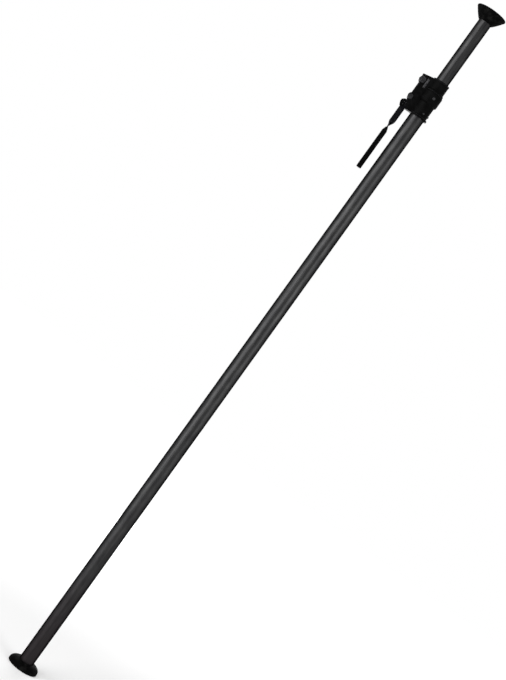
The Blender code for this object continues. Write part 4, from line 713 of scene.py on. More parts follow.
@dataclass(frozen=True)
class Bench:
    """A workplace at one level of the pole. Shapes are drawn about it and then set up at that level.

    Cuts are worked out close to the origin, where small sizes keep their full precision.
    """

    level: float

    def turned(
        self,
        profile: list[Point],
        closed: bool = False,
        steps: int = ROUND_STEPS,
        aim: Matrix | None = None,
    ) -> Piece:
        """Turns a profile about an axis.

        Args:
            profile: (radius, height) points, heights along the axis.
            closed: Whether its last point joins its first.
            steps: How many faces go round.
            aim: Where its axis goes, in the pole's frame; without it, the pole's own axis.

        Returns:
            The turned piece on the bench.
        """
        points: list[Place] = []
        rings: list[list[int]] = []
        base = 0.0 if aim is not None else self.level
        for radius, height in profile:
            if radius < SMALLEST:
                rings.append([len(points)])
                points.append((0.0, 0.0, height - base))
                continue
            rings.append(list(range(len(points), len(points) + steps)))
            for i in range(steps):
                angle = math.tau * i / steps
                points.append((radius * math.cos(angle), radius * math.sin(angle), height - base))
        faces = []
        for one, two in zip(rings, rings[1:] + (rings[:1] if closed else [])):
            for i in range(steps):
                j = (i + 1) % steps
                corners = [one[i % len(one)], one[j % len(one)], two[j % len(two)], two[i % len(two)]]
                face = list(dict.fromkeys(corners))
                if len(face) > 2:
                    faces.append(face)
        obj = new_object("turned", points, faces)
        if aim is not None:
            obj.data.transform(Matrix.Translation((0.0, 0.0, -self.level)) @ aim)
        return obj

    def plate(self, outline: list[Point], low: float, high: float, view: View, edge: float = 0.0) -> Piece:
        """Gives a flat outline its thickness, with rounded edges.

        Args:
            outline: Points in (x, z) for a side view, or (x, y) for a plan view.
            low: Where it starts, in y or z.
            high: Where it ends.
            view: Which way the outline faces.
            edge: Radius of its edges.

        Returns:
            The piece on the bench.
        """
        turns = [math.pi / 2]
        if edge:
            turns = [math.pi / 2 * i / CORNER_STEPS for i in range(CORNER_STEPS + 1)]
        rims = [(edge * (1 - math.sin(a)), low + edge * (1 - math.cos(a))) for a in turns]
        rims += [(inset, low + high - at) for inset, at in reversed(rims)]
        rings = []
        for inset, at in rims:
            loop = drawn_in(outline, inset)
            if view is View.SIDE:
                rings.append([(across, at, up - self.level) for across, up in loop])
            else:
                rings.append([(across, up, at - self.level) for across, up in loop])
        return bar("plate", rings)

    def wire(self, path: list[Turn], axis: Vector, radius: float, steps: int = 10) -> Piece:
        """Skins a round wire along a coil's path.

        Args:
            path: Each point of the path, with the direction away from the coil's axis.
            axis: Direction of the coil's axis.
            radius: Radius of the wire.
            steps: How many faces go round it.

        Returns:
            The wire on the bench, with closed ends.
        """
        level = Vector((0.0, 0.0, self.level))
        turns = [math.tau * k / steps for k in range(steps)]
        rings = [
            [tuple(middle + (out * math.cos(a) + axis * math.sin(a)) * radius - level) for a in turns]
            for middle, out in path
        ]
        return bar("coil", rings)

    def loft(self, sections: list[Section]) -> Piece:
        """Skins a bar over its sections."""
        return bar("loft", [section.ring(self.level) for section in sections])

    def rod(self, radius: float, start: Vector, end: Vector, steps: int = HOLE_STEPS) -> Piece:
        """Makes a round tool between two places.

        Args:
            radius: Its radius.
            start: Middle of one end, in the pole's frame.
            end: Middle of the other end.
            steps: How many faces go round.

        Returns:
            The rod on the bench.
        """
        along = Vector(end) - Vector(start)
        profile = [(0.0, 0.0), (radius, 0.0), (radius, along.length), (0.0, along.length)]
        return self.turned(profile, steps=steps, aim=aimed(along, start))

    def cross_rod(self, radius: float, pivot: Vector, half: float) -> Piece:
        """A round tool along Y, centred on a pivot."""
        reach = Vector((0.0, half, 0.0))
        return self.rod(radius, pivot - reach, pivot + reach)

    def drill(self, radius: float, angle: float, level: float, reach: Point) -> Piece:
        """A round tool that points away from the pole's axis, between two distances from it."""
        return self.rod(radius, *(around(angle, end, level) for end in reach))

    def plain_pin(self, radius: float, half: float, ease: float, seat: Matrix) -> Piece:
        """A headless pin or flush rivet with rounded ends, whose seat takes its middle to its place."""
        ends = [(0.0, half), (radius, half), (radius, -half), (0.0, -half)]
        return self.turned(eased(ends, ease, closed=False), steps=HOLE_STEPS, aim=seat)

    def set_up(self, obj: Piece) -> Piece:
        """Puts a finished piece at the bench's level in the pole."""
        obj.location.z += self.level
        return obj


def aimed(direction: Vector, place: Vector, axis: str = "Z") -> Matrix:
    """The matrix that takes an axis to a direction, and the origin to a place."""
    turn = Vector(direction).to_track_quat(axis, "Y").to_matrix().to_4x4()
    return Matrix.Translation(place) @ turn


def radial(angle: float) -> Vector:
    """Unit vector away from the pole's axis, at an angle from +X in degrees."""
    return Vector((math.cos(math.radians(angle)), math.sin(math.radians(angle)), 0.0))


def around(angle: float, radius: float, level: float) -> Vector:
    """The place at an angle from +X in degrees, a radius from the pole's axis and a level."""
    return radial(angle) * radius + Vector((0.0, 0.0, level))


def sideways(pivot: Vector, reach: float) -> Vector:
    """The place beside a pivot, along Y."""
    return pivot + Vector((0.0, reach, 0.0))


def bake(obj: Piece) -> None:
    """Keeps the result of an object's modifiers as its mesh.

    Args:
        obj: The object, which has no modifiers afterwards.
    """
    bpy.context.view_layer.update()
    graph = bpy.context.evaluated_depsgraph_get()
    old = obj.data
    obj.data = bpy.data.meshes.new_from_object(obj.evaluated_get(graph))
    obj.modifiers.clear()
    bpy.data.meshes.remove(old)


def work(obj: Piece, how: Work, *tools: Piece) -> None:
    """Cuts or joins a piece with tools, which are used up.

    Args:
        obj: The piece.
        how: What the tools do.
        tools: Closed meshes on the same bench.
    """
    for tool in tools:
        modifier = obj.modifiers.new(how.name, "BOOLEAN")
        modifier.operation = how.value
        modifier.solver = "EXACT"
        modifier.object = tool
    bake(obj)
    for tool in tools:
        bpy.data.objects.remove(tool, do_unlink=True)


def soften(obj: Piece, width: float) -> None:
    """Rounds the sharp edges of a cast piece.

    Args:
        obj: The piece.
        width: Width of each rounded edge.
    """
    form = bmesh.new()
    form.from_mesh(obj.data)
    bmesh.ops.remove_doubles(form, verts=form.verts, dist=WELD)
    bmesh.ops.dissolve_limit(form, angle_limit=FLAT_ANGLE, verts=form.verts, edges=form.edges)
    form.to_mesh(obj.data)
    form.free()
    bevel = obj.modifiers.new("Soften", "BEVEL")
    bevel.width = width
    bevel.segments = EDGE_SEGMENTS
    bevel.limit_method = "ANGLE"
    bevel.angle_limit = EDGE_ANGLE
    bevel.use_clamp_overlap = True
    bake(obj)


def smooth(obj: Piece, worn_and_highlit: Iterable[Spot] = ()) -> None:
    """Shades a finished piece smooth, with crisp corners, and marks where it wears and where highlights are
    painted.

    Args:
        obj: The piece in its place.
        worn_and_highlit: The round spots that are paler all over: painted highlights, partly wear.
    """
    obj.data.shade_smooth()
    obj.data.set_sharp_from_angle(angle=SOFT_ANGLE)
    mark_wear_and_highlights(obj.data, [(middle - obj.location, radius, share) for middle, radius, share in worn_and_highlit])
    weighted = obj.modifiers.new("Weigh", "WEIGHTED_NORMAL")
    weighted.keep_sharp = True
    bake(obj)


def mark_wear_and_highlights(mesh: bpy.types.Mesh, worn_and_highlit: list[Spot]) -> None:
    """Marks narrow convex faces, which are rounded edges, and the faces that lie in the given spots, which
    are painted highlights and partly wear.

    Args:
        mesh: The mesh, which gets an attribute with the share of wear and of painted highlight.
        worn_and_highlit: The painted highlight spots, partly worn, in the mesh's coordinates.
    """
    form = bmesh.new()
    form.from_mesh(mesh)
    layer = form.loops.layers.float.new(WEAR_AND_HIGHLIGHT)
    rims = {face.index: max(face.calc_perimeter(), SMALLEST) for face in form.faces}
    widths = {face.index: 2 * face.calc_area() / rims[face.index] for face in form.faces}
    worn, spot_share = {}, {}
    for vert in form.verts:
        narrow = all(widths[face.index] < EDGE_WIDTH for face in vert.link_faces)
        sharpest = max((edge.calc_face_angle_signed(0.0) for edge in vert.link_edges), default=0.0)
        worn[vert] = EDGE_WEAR if narrow and sharpest > EDGE_TURN else 0.0
        # The spots are painted highlights, and partly wear at the knuckles.
        shares = [share for middle, radius, share in worn_and_highlit if (vert.co - middle).length < radius]
        spot_share[vert] = max(shares, default=0.0)
    for face in form.faces:
        in_spot = all(spot_share[vert] for vert in face.verts)
        for loop in face.loops:
            loop[layer] = spot_share[loop.vert] if in_spot else worn[loop.vert]
    form.to_mesh(mesh)
    form.free()


class Pole:
    """The whole pole: puts each finished piece in the frame and counts it."""

    pieces = 0

    @classmethod
    def add(
        cls,
        obj: Piece,
        name: str,
        body: str | None,
        finish: Finish,
        *nodes: str,
        worn_and_highlit: Iterable[Spot] = (),
    ) -> Piece:
        """Names, dresses and places a finished piece in the stead of CAD nodes.

        Args:
            obj: The piece in its place.
            name: Its name.
            body: The CAD body it moves with, or None for a piece that is attached to none.
            finish: Its finish.
            nodes: The CAD nodes that it stands for.
            worn_and_highlit: The spots that are paler all over: painted highlights, partly wear.

        Returns:
            The piece.
        """
        smooth(obj, worn_and_highlit)
        obj.name = obj.data.name = name
        obj.data.materials.clear()
        obj.data.materials.append(material_of(finish))
        if body is not None:
            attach(obj, body)
        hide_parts(*nodes)
        cls.pieces += 1
        LOG.info("%s: %s, %d faces, %s", name, finish.name, len(obj.data.polygons), cls.offset(obj, nodes))
        return obj

    @staticmethod
    def offset(obj: Piece, nodes: tuple[str, ...]) -> str:
        """Compares a piece's box with that of the nodes it stands for.

        Args:
            obj: The piece.
            nodes: The CAD nodes.

        Returns:
            How far its box stands out of theirs and falls short of it at most, in words.
        """
        bpy.context.view_layer.update()
        corners = [obj.matrix_world @ vert.co for vert in obj.data.vertices]
        boxes = [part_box(node) for node in nodes]
        proud, short = 0.0, 0.0
        for axis in range(3):
            low = min(c[axis] for c in corners) - min(b[0][axis] for b in boxes)
            high = max(c[axis] for c in corners) - max(b[1][axis] for b in boxes)
            proud = max(proud, -low, high)
            short = max(short, low, -high)
        return f"proud {proud / MM:.2f} mm, short {short / MM:.2f} mm"

    @classmethod
    def keep(cls, finish: Finish, *nodes: str) -> None:
        """Gives CAD nodes that keep their shape their finish.

        Args:
            finish: The finish.
            nodes: The nodes.
        """
        for node in nodes:
            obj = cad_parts[node]
            for slot in obj.material_slots:
                slot.material = material_of(finish)
            LOG.info("%s: CAD shape, %s", node, finish.name)


# Fasteners and springs, which the sub-assemblies use


@dataclass(frozen=True)
class Screw:
    """A screw with a turned head. Its head's underside is at height 0 and its shank below."""

    shank: float
    length: float
    head: float
    height: float
    key: float = 0.0
    key_depth: float = 0.0
    slit: float = 0.0
    domed: bool = False
    # Shares of the head's height that is bevelled, of the bevel that is rounded, and of the shank that
    # its tip loses
    bevel: float = 0.35
    bevel_ease: float = 0.7
    taper: float = 0.4
    # Degrees between the rings of a domed head, and the sides of a socket
    dome_step: int = 9
    key_sides: int = 6

    def profile(self) -> list[Point]:
        """Half outline of the screw from the top of its head to its tip.

        Returns:
            (radius, height) points.
        """
        if self.domed:
            angles = [math.radians(a) for a in range(0, 90 + self.dome_step, self.dome_step)]
            top = [(self.head * math.sin(a), self.height * math.cos(a)) for a in angles]
        else:
            bevel = self.height * self.bevel
            top = [(0.0, self.height), (self.head - bevel, self.height), (self.head, self.height - bevel)]
            top = eased(top + [(self.head, 0.0)], bevel * self.bevel_ease, closed=False)
        taper = self.shank * self.taper
        shank = [(self.shank, 0.0), (self.shank, taper - self.length)]
        return top + shank + [(self.shank - taper, -self.length), (0.0, -self.length)]

    def place(self, bench: Bench, seat: Matrix) -> Piece:
        """Makes the screw in its seat.

        Args:
            bench: Where it is worked.
            seat: The matrix that takes its axis to its place in the pole.

        Returns:
            The screw on the bench.
        """
        obj = bench.turned(self.profile(), steps=HOLE_STEPS, aim=seat)
        floor, over = self.height - self.key_depth, self.height * 2
        if self.key:
            cutter = [(0.0, floor), (self.key, floor), (self.key, over), (0.0, over)]
            work(obj, Work.CUT, bench.turned(cutter, steps=self.key_sides, aim=seat))
        if self.slit:
            slit = rectangle((-2 * self.head, 2 * self.head), (-self.slit / 2, self.slit / 2))
            cutter = Bench(0.0).plate(slit, floor, over, View.PLAN)
            cutter.data.transform(Matrix.Translation((0.0, 0.0, -bench.level)) @ seat)
            work(obj, Work.CUT, cutter)
        return obj


@dataclass(frozen=True)
class Pin:
    """A pivot pin along Y with a turned front head, and a rear head or a groove end for a clip."""

    radius: float
    head: float
    head_height: float
    clipped: bool = False
    stub: float = 2.5 * MM
    dimple: float = 0.5 * MM
    ease: float = 0.6 * MM

    def place(self, bench: Bench, pivot: Vector, half: float) -> Piece:
        """Makes the pin on its pivot.

        Args:
            bench: Where it is worked.
            pivot: The pivot.
            half: Half the distance between its heads.

        Returns:
            The pin on the bench.
        """
        top, floor = half + self.head_height, half + self.head_height - self.dimple
        head = [(0.0, floor), (self.dimple * 2, floor), (self.dimple * 3, top), (self.head, top)]
        profile = eased(head + [(self.head, half)], self.ease, closed=False) + [(self.radius, half)]
        if self.clipped:
            end = -half - self.stub
            rest = [(self.radius, half - MM), (self.radius, end), (0.0, end)]
        else:
            profile.append((self.radius, -half))
            rest = [(self.head, -half), (self.head, -top), (0.0, -top)]
        profile += eased(rest, self.ease, closed=False)
        return bench.turned(profile, steps=HOLE_STEPS, aim=aimed(ACROSS, pivot))


@dataclass(frozen=True)
class Coil:
    """A small wound spring about an axis along Y."""

    radius: float
    wire: float
    turns: float
    low: float
    high: float
    steps_per_turn: int = 28

    def place(self, bench: Bench, pivot: Vector) -> Piece:
        """Winds the spring on its pivot.

        Args:
            bench: Where it is worked.
            pivot: The pivot.

        Returns:
            The spring on the bench, with closed ends.
        """
        count = round(self.turns * self.steps_per_turn)
        path = []
        for i in range(count + 1):
            share = i / count
            angle = math.tau * self.turns * share
            out = Vector((math.cos(angle), 0.0, -math.sin(angle)))
            along = Vector((0.0, self.low + (self.high - self.low) * share, 0.0))
            path.append((pivot + out * self.radius + along, out))
        return bench.wire(path, Vector((0.0, 1.0, 0.0)), self.wire)


# Rubber ends


class Skirt(Enum):
    """Shape of a rubber end's skirt."""

    DOMED = "domed"
    FLARED = "flared"


@dataclass(frozen=True)
class RubberEnd:
    """A rubber end that grips floor or ceiling, with the washer and screw that hold it to its tube."""

    name: str
    body: str
    skirt: Skirt
    radius: float
    height: float
    rim: float
    rim_edge: float
    contact: float
    power: float
    lip: float
    tube: float
    upturned_at: float | None = None
    hollow: float = 7.0 * MM
    web: float = 3.0 * MM
    hub: float = 14.0 * MM
    hole: float = 4.3 * MM
    # Two grip grooves run round the contact ring, at these shares of its width.
    groove: float = 0.7 * MM
    groove_shares: Point = (0.33, 0.67)
    lead_in: float = 2.0 * MM
    # How far the hollow has risen half way in, as a share, and the least turn that the mould rounds
    hollow_rise: float = 0.8
    mould_edge: float = 0.6 * MM
    mould_turn: float = 24.0
    washer: float = 9.0 * MM
    washer_thick: float = 1.3 * MM
    washer_bore: float = 3.3 * MM
    washer_edge: float = 0.3 * MM
    skirt_steps: int = 22
    screw: Screw = Screw(3.0 * MM, 28.6 * MM, 5.2 * MM, 3.4 * MM, key=2.6 * MM, key_depth=2.0 * MM)

    def profile(self) -> list[Point]:
        """Outline of the rubber, contact ring at height 0, with the CAD skirt's curve in finer steps.

        Returns:
            (radius, height) points of the closed outline.
        """
        socket = self.tube + GAP
        neck = socket + self.lip
        outline = []
        for i in range(self.skirt_steps + 1):
            # The steps are closer where the skirt bends most, which is at its rim for a domed one.
            share = math.sin(math.radians(90.0) * i / self.skirt_steps)
            if self.skirt is Skirt.DOMED:
                rise = max(0.0, 1 - share**self.power) ** (1 / self.power)
            else:
                rise = 1 - share**self.power
            level = self.rim + (self.height - self.rim) * rise
            outline.append((neck + (self.radius - neck) * share, level))
        tread = self.radius - self.rim_edge
        outline += [(self.radius, self.rim_edge), (tread, 0.0)]
        for share in self.groove_shares:
            middle = tread - self.contact * share
            outline += [(middle + self.groove, 0.0), (middle, self.groove), (middle - self.groove, 0.0)]
        ring = tread - self.contact
        outline += [(ring, 0.0), (ring - self.lead_in, self.hollow / 3)]
        outline += [((ring + self.hub) / 2, self.hollow * self.hollow_rise), (self.hub, self.hollow)]
        outline += [(self.hole, self.hollow), (self.hole, self.hollow + self.web)]
        outline += [(socket, self.hollow + self.web), (socket, self.height)]
        return eased(outline, self.mould_edge, least=self.mould_turn)

    def stood(self, points: list[Point]) -> list[Point]:
        """Stands an outline in the pole: turned over if the end is at the ceiling.

        Args:
            points: The outline, contact ring at height 0.

        Returns:
            The outline at its level.
        """
        if self.upturned_at is None:
            return points
        return [(radius, self.upturned_at - height) for radius, height in points]

    def build(self) -> None:
        """Makes the rubber, its washer and its screw."""
        bench = Bench(self.upturned_at or 0.0)
        rubber = bench.turned(self.stood(self.profile()), closed=True, steps=FINE_ROUND_STEPS)
        Pole.add(bench.set_up(rubber), f"{self.name}_rubber", self.body, RUBBER, f"{self.name}_cup")
        top = self.hollow - GAP
        low = top - self.washer_thick
        ring = [(self.washer, top), (self.washer, low), (self.washer_bore, low), (self.washer_bore, top)]
        ring = self.stood(eased(ring, self.washer_edge))
        washer = bench.turned(ring, closed=True, steps=HOLE_STEPS)
        Pole.add(bench.set_up(washer), f"{self.name}_seat_washer", self.body, HEADS, f"{self.name}_washer")
        level = self.stood([(0.0, low - GAP)])[0][1]
        down = -1.0 if self.upturned_at is None else 1.0
        screw = self.screw.place(bench, aimed(Vector((0.0, 0.0, down)), Vector((0.0, 0.0, level))))
        Pole.add(bench.set_up(screw), f"{self.name}_socket_screw", self.body, HEADS, f"{self.name}_screw")


FOOT = RubberEnd(
    name="foot",
    body="base",
    skirt=Skirt.DOMED,
    radius=46.8 * MM,
    height=21.5 * MM,
    rim=5.5 * MM,
    rim_edge=1.5 * MM,
    contact=7.5 * MM,
    power=2.0,
    lip=1.6 * MM,
    tube=TUBE_RADIUS,
)
HEAD = RubberEnd(
    name="head",
    body="mast",
    skirt=Skirt.FLARED,
    radius=45.8 * MM,
    height=33.0 * MM,
    rim=3.5 * MM,
    rim_edge=1.2 * MM,
    contact=6.5 * MM,
    power=1.15,
    lip=1.5 * MM,
    tube=MAST_RADIUS,
    upturned_at=2250.0 * MM,
)


# Tubes


@dataclass(frozen=True)
class Tube:
    """A drawn tube with deburred ends and drilled holes."""

    name: str
    node: str
    body: str
    finish: Finish
    radius: float
    bore: float
    low: float
    high: float
    hole: float
    hole_level: float
    hole_angles: tuple[float, ...]
    deburr: float = 0.4 * MM

    def build(self) -> None:
        """Makes the tube and drills it, worked about the level of its holes."""
        bench = Bench(self.hole_level)
        outline = [(self.radius, self.high), (self.radius, self.low)]
        outline += [(self.bore, self.low), (self.bore, self.high)]
        obj = bench.turned(eased(outline, self.deburr), closed=True, steps=FINE_ROUND_STEPS)
        reach = (self.bore - MM, self.radius + MM)
        drills = [bench.drill(self.hole, angle, self.hole_level, reach) for angle in self.hole_angles]
        work(obj, Work.CUT, *drills)
        Pole.add(bench.set_up(obj), self.name, self.body, self.finish, self.node)


LOWER_TUBE = Tube(
    name="lower_tube_drawn",
    node="lower_tube",
    body="base",
    finish=TUBE,
    radius=TUBE_RADIUS,
    bore=20.5 * MM,
    low=10.3 * MM,
    high=1938.0 * MM,
    hole=2.0 * MM,
    hole_level=1912.0 * MM,
    hole_angles=(-68.0, 0.0, 68.0),
)
MAST_TUBE = Tube(
    name="mast_tube_drawn",
    node="inner_tube",
    body="mast",
    finish=MAST,
    radius=MAST_RADIUS,
    bore=17.5 * MM,
    low=217.6 * MM,
    high=2239.7 * MM,
    hole=2.2 * MM,
    hole_level=230.1 * MM,
    hole_angles=(0.0, 180.0),
)


# Clamp


@dataclass(frozen=True)
class Clip:
    """A stamped clip in the groove of the lever's pin: a ring with three prongs that reach in to it."""

    radius: float = 5.8 * MM
    prong: float = 4.3 * MM
    inner: float = 4.9 * MM
    thick: float = 1.2 * MM
    corner: float = 0.25 * MM
    edge: float = 0.2 * MM
    ring: Span = (-60.0, 240.0, 40)
    # Where the prongs and the spaces between them start and end, in degrees from +X
    prongs: tuple[Point, ...] = ((236.0, 214.0), (100.0, 80.0), (-34.0, -56.0))
    spaces: tuple[Point, ...] = ((206.0, 106.0), (74.0, -26.0))

    def place(self, bench: Bench, pivot: Vector, low: float) -> Piece:
        """Makes the clip.

        Args:
            bench: Where it is worked.
            pivot: The pin's pivot.
            low: Its side that faces the knuckle, in y.

        Returns:
            The clip on the bench.
        """
        centre = (pivot.x, pivot.z)
        outline = arc(centre, self.radius, *self.ring)
        spans = [(*span, self.prong) for span in self.prongs]
        spans += [(*span, self.inner) for span in self.spaces]
        for start, end, radius in sorted(spans, reverse=True):
            outline += arc(centre, radius, start, end, ARC_STEPS)
        return bench.plate(eased(outline, self.corner), low, low + self.thick, View.SIDE, self.edge)


@dataclass(frozen=True)
class Clamp:
    """Cast clamp: sleeve and chamber round the tube, top cap, guide bush, rivets, screws and pins."""

    bottom: float = 1896.0 * MM
    shoulder: float = 1938.3 * MM
    chamber_floor: float = 1941.3 * MM
    split: float = 1977.0 * MM
    cap_bottom: float = 1977.3 * MM
    cap_top: float = 2010.2 * MM
    top: float = 2013.5 * MM
    sleeve: float = 25.2 * MM
    flange_width: float = 3.8 * MM
    flange_height: float = 5.0 * MM
    flange_slope: float = 1.5 * MM
    flange_edge: float = 1.0 * MM
    shoulder_bore: float = 20.4 * MM
    shoulder_slope: float = 1.5 * MM
    chamber: float = 26.6 * MM
    wall: float = 2.7 * MM
    bulge: float = 29.3 * MM
    bulge_edge: float = 1.7 * MM
    body_ease: float = 0.9 * MM
    cap: float = 24.8 * MM
    cap_edge: float = 0.6 * MM
    cap_rim: float = 2.7 * MM
    cap_slope: float = 4.3 * MM
    tower_left: float = -53.4 * MM
    tower_half: float = 13.0 * MM
    tower_corner: float = 3.5 * MM
    tower_wall: float = 2.8 * MM
    tower_cut_wide: float = 12.9 * MM
    tower_cut_high: float = 25.0 * MM
    tower_cut_drop: float = 10.0 * MM
    slot_step: float = 1.5 * MM
    slot_half: float = 5.6 * MM
    cam_reach: float = 16.7 * MM
    pocket_half: float = 7.4 * MM
    pocket_right: float = -26.0 * MM
    lever_pivot: Vector = LEVER_PIVOT
    trigger_pivot: Vector = TRIGGER_PIVOT
    lever_knuckle: float = 8.0 * MM
    lever_knuckle_half: float = 15.0 * MM
    lever_pin: Pin = Pin(4.0 * MM, 6.2 * MM, 2.4 * MM, clipped=True)
    lever_pin_hole: float = 4.3 * MM
    clip: Clip = Clip()
    trigger_knuckle: float = 9.3 * MM
    trigger_knuckle_half: float = 15.5 * MM
    trigger_hub: float = 6.2 * MM
    trigger_pin: Pin = Pin(2.5 * MM, 4.4 * MM, 1.8 * MM)
    trigger_pin_hole: float = 2.8 * MM
    trigger_coil: Coil = Coil(3.6 * MM, 0.4 * MM, 3.0, 2.5 * MM, 6.7 * MM)
    hood_left: float = -56.7 * MM
    hood_room: float = 1.0 * MM
    hood_height: float = 4.7 * MM
    guide_level: float = 1961.0 * MM
    guide_angles: Point = (-74.0, 74.0)
    guide_flat: float = 28.5 * MM
    guide_seat: float = 4.8 * MM
    guide_hole: float = 2.3 * MM
    guide_screw: Screw = Screw(2.0 * MM, 3.69 * MM, 4.5 * MM, 2.2 * MM, key_depth=0.9 * MM, slit=1.0 * MM)
    rivet_level: float = 1912.0 * MM
    rivet_angles: Place = (-68.0, 0.0, 68.0)
    rivet_hole: float = 2.0 * MM
    rivet: Screw = Screw(1.7 * MM, 5.0 * MM, 3.2 * MM, 1.7 * MM, domed=True)
    cap_screw_x: float = -33.8 * MM
    cap_screw_y: float = 10.2 * MM
    cap_screw_hole: float = 1.5 * MM
    cap_screw_head: float = 2.3 * MM
    cap_screw_sink: float = 2.0 * MM
    cap_screw_tip: float = 1963.0 * MM
    # Its length is worked out from its seat and its tip.
    cap_screw: Screw = Screw(1.2 * MM, 0.0, 2.0 * MM, 1.8 * MM, key=1.0 * MM, key_depth=1.0 * MM)
    boss: float = 4.7 * MM
    boss_low: float = 1964.5 * MM
    boss_high: float = 2007.0 * MM
    boss_taper: float = 9.0 * MM
    bush_wall: float = 2.5 * MM
    bush_flange: float = 3.1 * MM
    bush_flange_thick: float = 3.0 * MM
    bush_edge: float = 0.6 * MM
    bush_rise: float = 3.7 * MM
    casting_edge: float = 0.55 * MM
    # Painted highlights, set where the photograph shows light spots: how far they reach and their share of
    # the paler colour. At the knuckles this is partly wear.
    boss_spot: float = 3.9 * MM
    boss_highlight: float = 1.3
    guide_spot: float = 5.6 * MM
    guide_highlight: float = 1.0
    lever_knuckle_wear_and_highlight: float = 0.72
    trigger_knuckle_wear_and_highlight: float = 0.74

    def bench(self) -> Bench:
        """The workplace of every piece of the clamp."""
        return Bench(self.shoulder)

    def build(self) -> None:
        """Makes the whole clamp."""
        self.build_body()
        self.build_cap()
        self.build_bush()
        self.build_fasteners()
        self.build_pins()

    def cap_screw_places(self, level: float) -> list[Vector]:
        """The places of the front and the rear cap screw at a level."""
        return [Vector((self.cap_screw_x, side * self.cap_screw_y, level)) for side in SIDES]

    def cap_screw_drills(self, radius: float, low: float, high: float) -> list[Piece]:
        """Upright drills at both cap screws, between two levels."""
        ends = zip(self.cap_screw_places(low), self.cap_screw_places(high))
        return [self.bench().rod(radius, start, end) for start, end in ends]

    def cap_screw_seat(self) -> float:
        """Level of the flat under a cap screw's head, sunk in the cap's sloping top.

        Returns:
            The level.
        """
        hood_top = self.trigger_pivot.z + self.trigger_knuckle + self.hood_room + self.hood_height
        slope = (self.cap_top - hood_top) / (-self.cap - self.hood_left)
        return self.cap_top + slope * (self.cap_screw_x + self.cap) - self.cap_screw_sink

    def bosses(self, low: float, high: float, low_taper: float, high_taper: float) -> list[Piece]:
        """Columns on the tower's flanks that take the cap screws.

        Args:
            low: Level of their lower end.
            high: Level of their upper end.
            low_taper: How long the lower end tapers to nothing.
            high_taper: The same for the upper end.

        Returns:
            The two columns on the bench.
        """
        half = [(0.0, low), (self.boss, low + low_taper), (self.boss, high - high_taper), (0.0, high)]
        seats = [Matrix.Translation(place) for place in self.cap_screw_places(0.0)]
        return [self.bench().turned(half, steps=HOLE_STEPS, aim=seat) for seat in seats]

    def boss_highlights(self, *levels: float) -> list[Spot]:
        """Painted highlights on the fronts of both columns.

        Args:
            levels: Levels of the rings of vertices that are marked.

        Returns:
            A place for each column and level.
        """
        front = self.cap_screw_y + self.boss
        places = [Vector((self.cap_screw_x, side * front, level)) for side in SIDES for level in levels]
        return [(place, self.boss_spot, self.boss_highlight) for place in places]

    def body_blank(self) -> Piece:
        """The outside of the cast body: turned sleeve and bulge, tower with its sloped foot, knuckle.

        Returns:
            The solid blank on the bench.
        """
        bench = self.bench()
        flange = self.sleeve + self.flange_width
        outer = [
            (0.0, self.split),
            (self.bulge - self.bulge_edge, self.split),
            (self.bulge, self.split - 2 * self.bulge_edge),
            (self.bulge, self.chamber_floor + self.wall),
            (self.sleeve, self.chamber_floor - self.shoulder_slope),
            (self.sleeve, self.bottom + self.flange_height + self.flange_slope),
            (flange, self.bottom + self.flange_height),
            (flange, self.bottom + self.flange_edge),
            (flange - self.flange_edge, self.bottom),
            (0.0, self.bottom),
        ]
        blank = bench.turned(eased(outer, self.body_ease, closed=False))
        left, half, corner = self.tower_left, self.tower_half, self.tower_corner
        top = self.split - GAP / 2
        plan = [(0.0, half)]
        plan += arc((left + corner, half - corner), corner, 90.0, 180.0, ARC_STEPS)
        plan += arc((left + corner, corner - half), corner, 180.0, 270.0, ARC_STEPS)
        plan.append((0.0, -half))
        tower = bench.plate(plan, self.bottom + GAP / 2, top, View.PLAN)
        slope = self.tower_cut_high / self.tower_cut_wide
        high = self.lever_pivot.z - self.tower_cut_drop
        low, over = self.bottom - 2 * OVER, 2 * OVER
        foot = [(left - over, low), (left + (high - low) / slope, low), (left - over, high + over * slope)]
        work(tower, Work.CUT, bench.plate(foot, -half - over, half + over, View.SIDE))
        knuckle = bench.cross_rod(self.lever_knuckle, self.lever_pivot, self.lever_knuckle_half)
        columns = self.bosses(self.boss_low, top, self.boss_taper, 0.0)
        work(blank, Work.JOIN, tower, knuckle, *columns)
        return blank

    def hollow(self, body: Piece) -> None:
        """Cuts the bore, the chamber, the pocket for the jam plate's tail and the cams' slot.

        Args:
            body: The body's blank.
        """
        bench = self.bench()
        bore = [
            (0.0, self.split + OVER),
            (self.chamber, self.split + OVER),
            (self.chamber, self.chamber_floor),
            (self.shoulder_bore, self.chamber_floor),
            (self.shoulder_bore, self.shoulder),
            (TUBE_RADIUS + GAP, self.shoulder),
            (TUBE_RADIUS + GAP, self.bottom - OVER),
            (0.0, self.bottom - OVER),
        ]
        inner = self.tower_left + self.tower_wall
        plan = rectangle((inner, -MAST_RADIUS), (-self.pocket_half, self.pocket_half))
        pocket = bench.plate(plan, self.chamber_floor, self.split + OVER, View.PLAN)
        work(body, Work.CUT, bench.turned(bore), pocket)
        far, top = self.tower_left - self.tower_half, self.lever_pivot.z + self.cam_reach
        right = self.lever_pivot.x + self.cam_reach
        slot = [
            (far, self.bottom - OVER),
            (right, self.bottom - OVER),
            (right, self.chamber_floor + OVER),
            (inner + self.slot_step, self.chamber_floor + OVER),
            (inner + self.slot_step, top),
            (far, top),
        ]
        work(body, Work.CUT, bench.plate(slot, -self.slot_half, self.slot_half, View.SIDE))

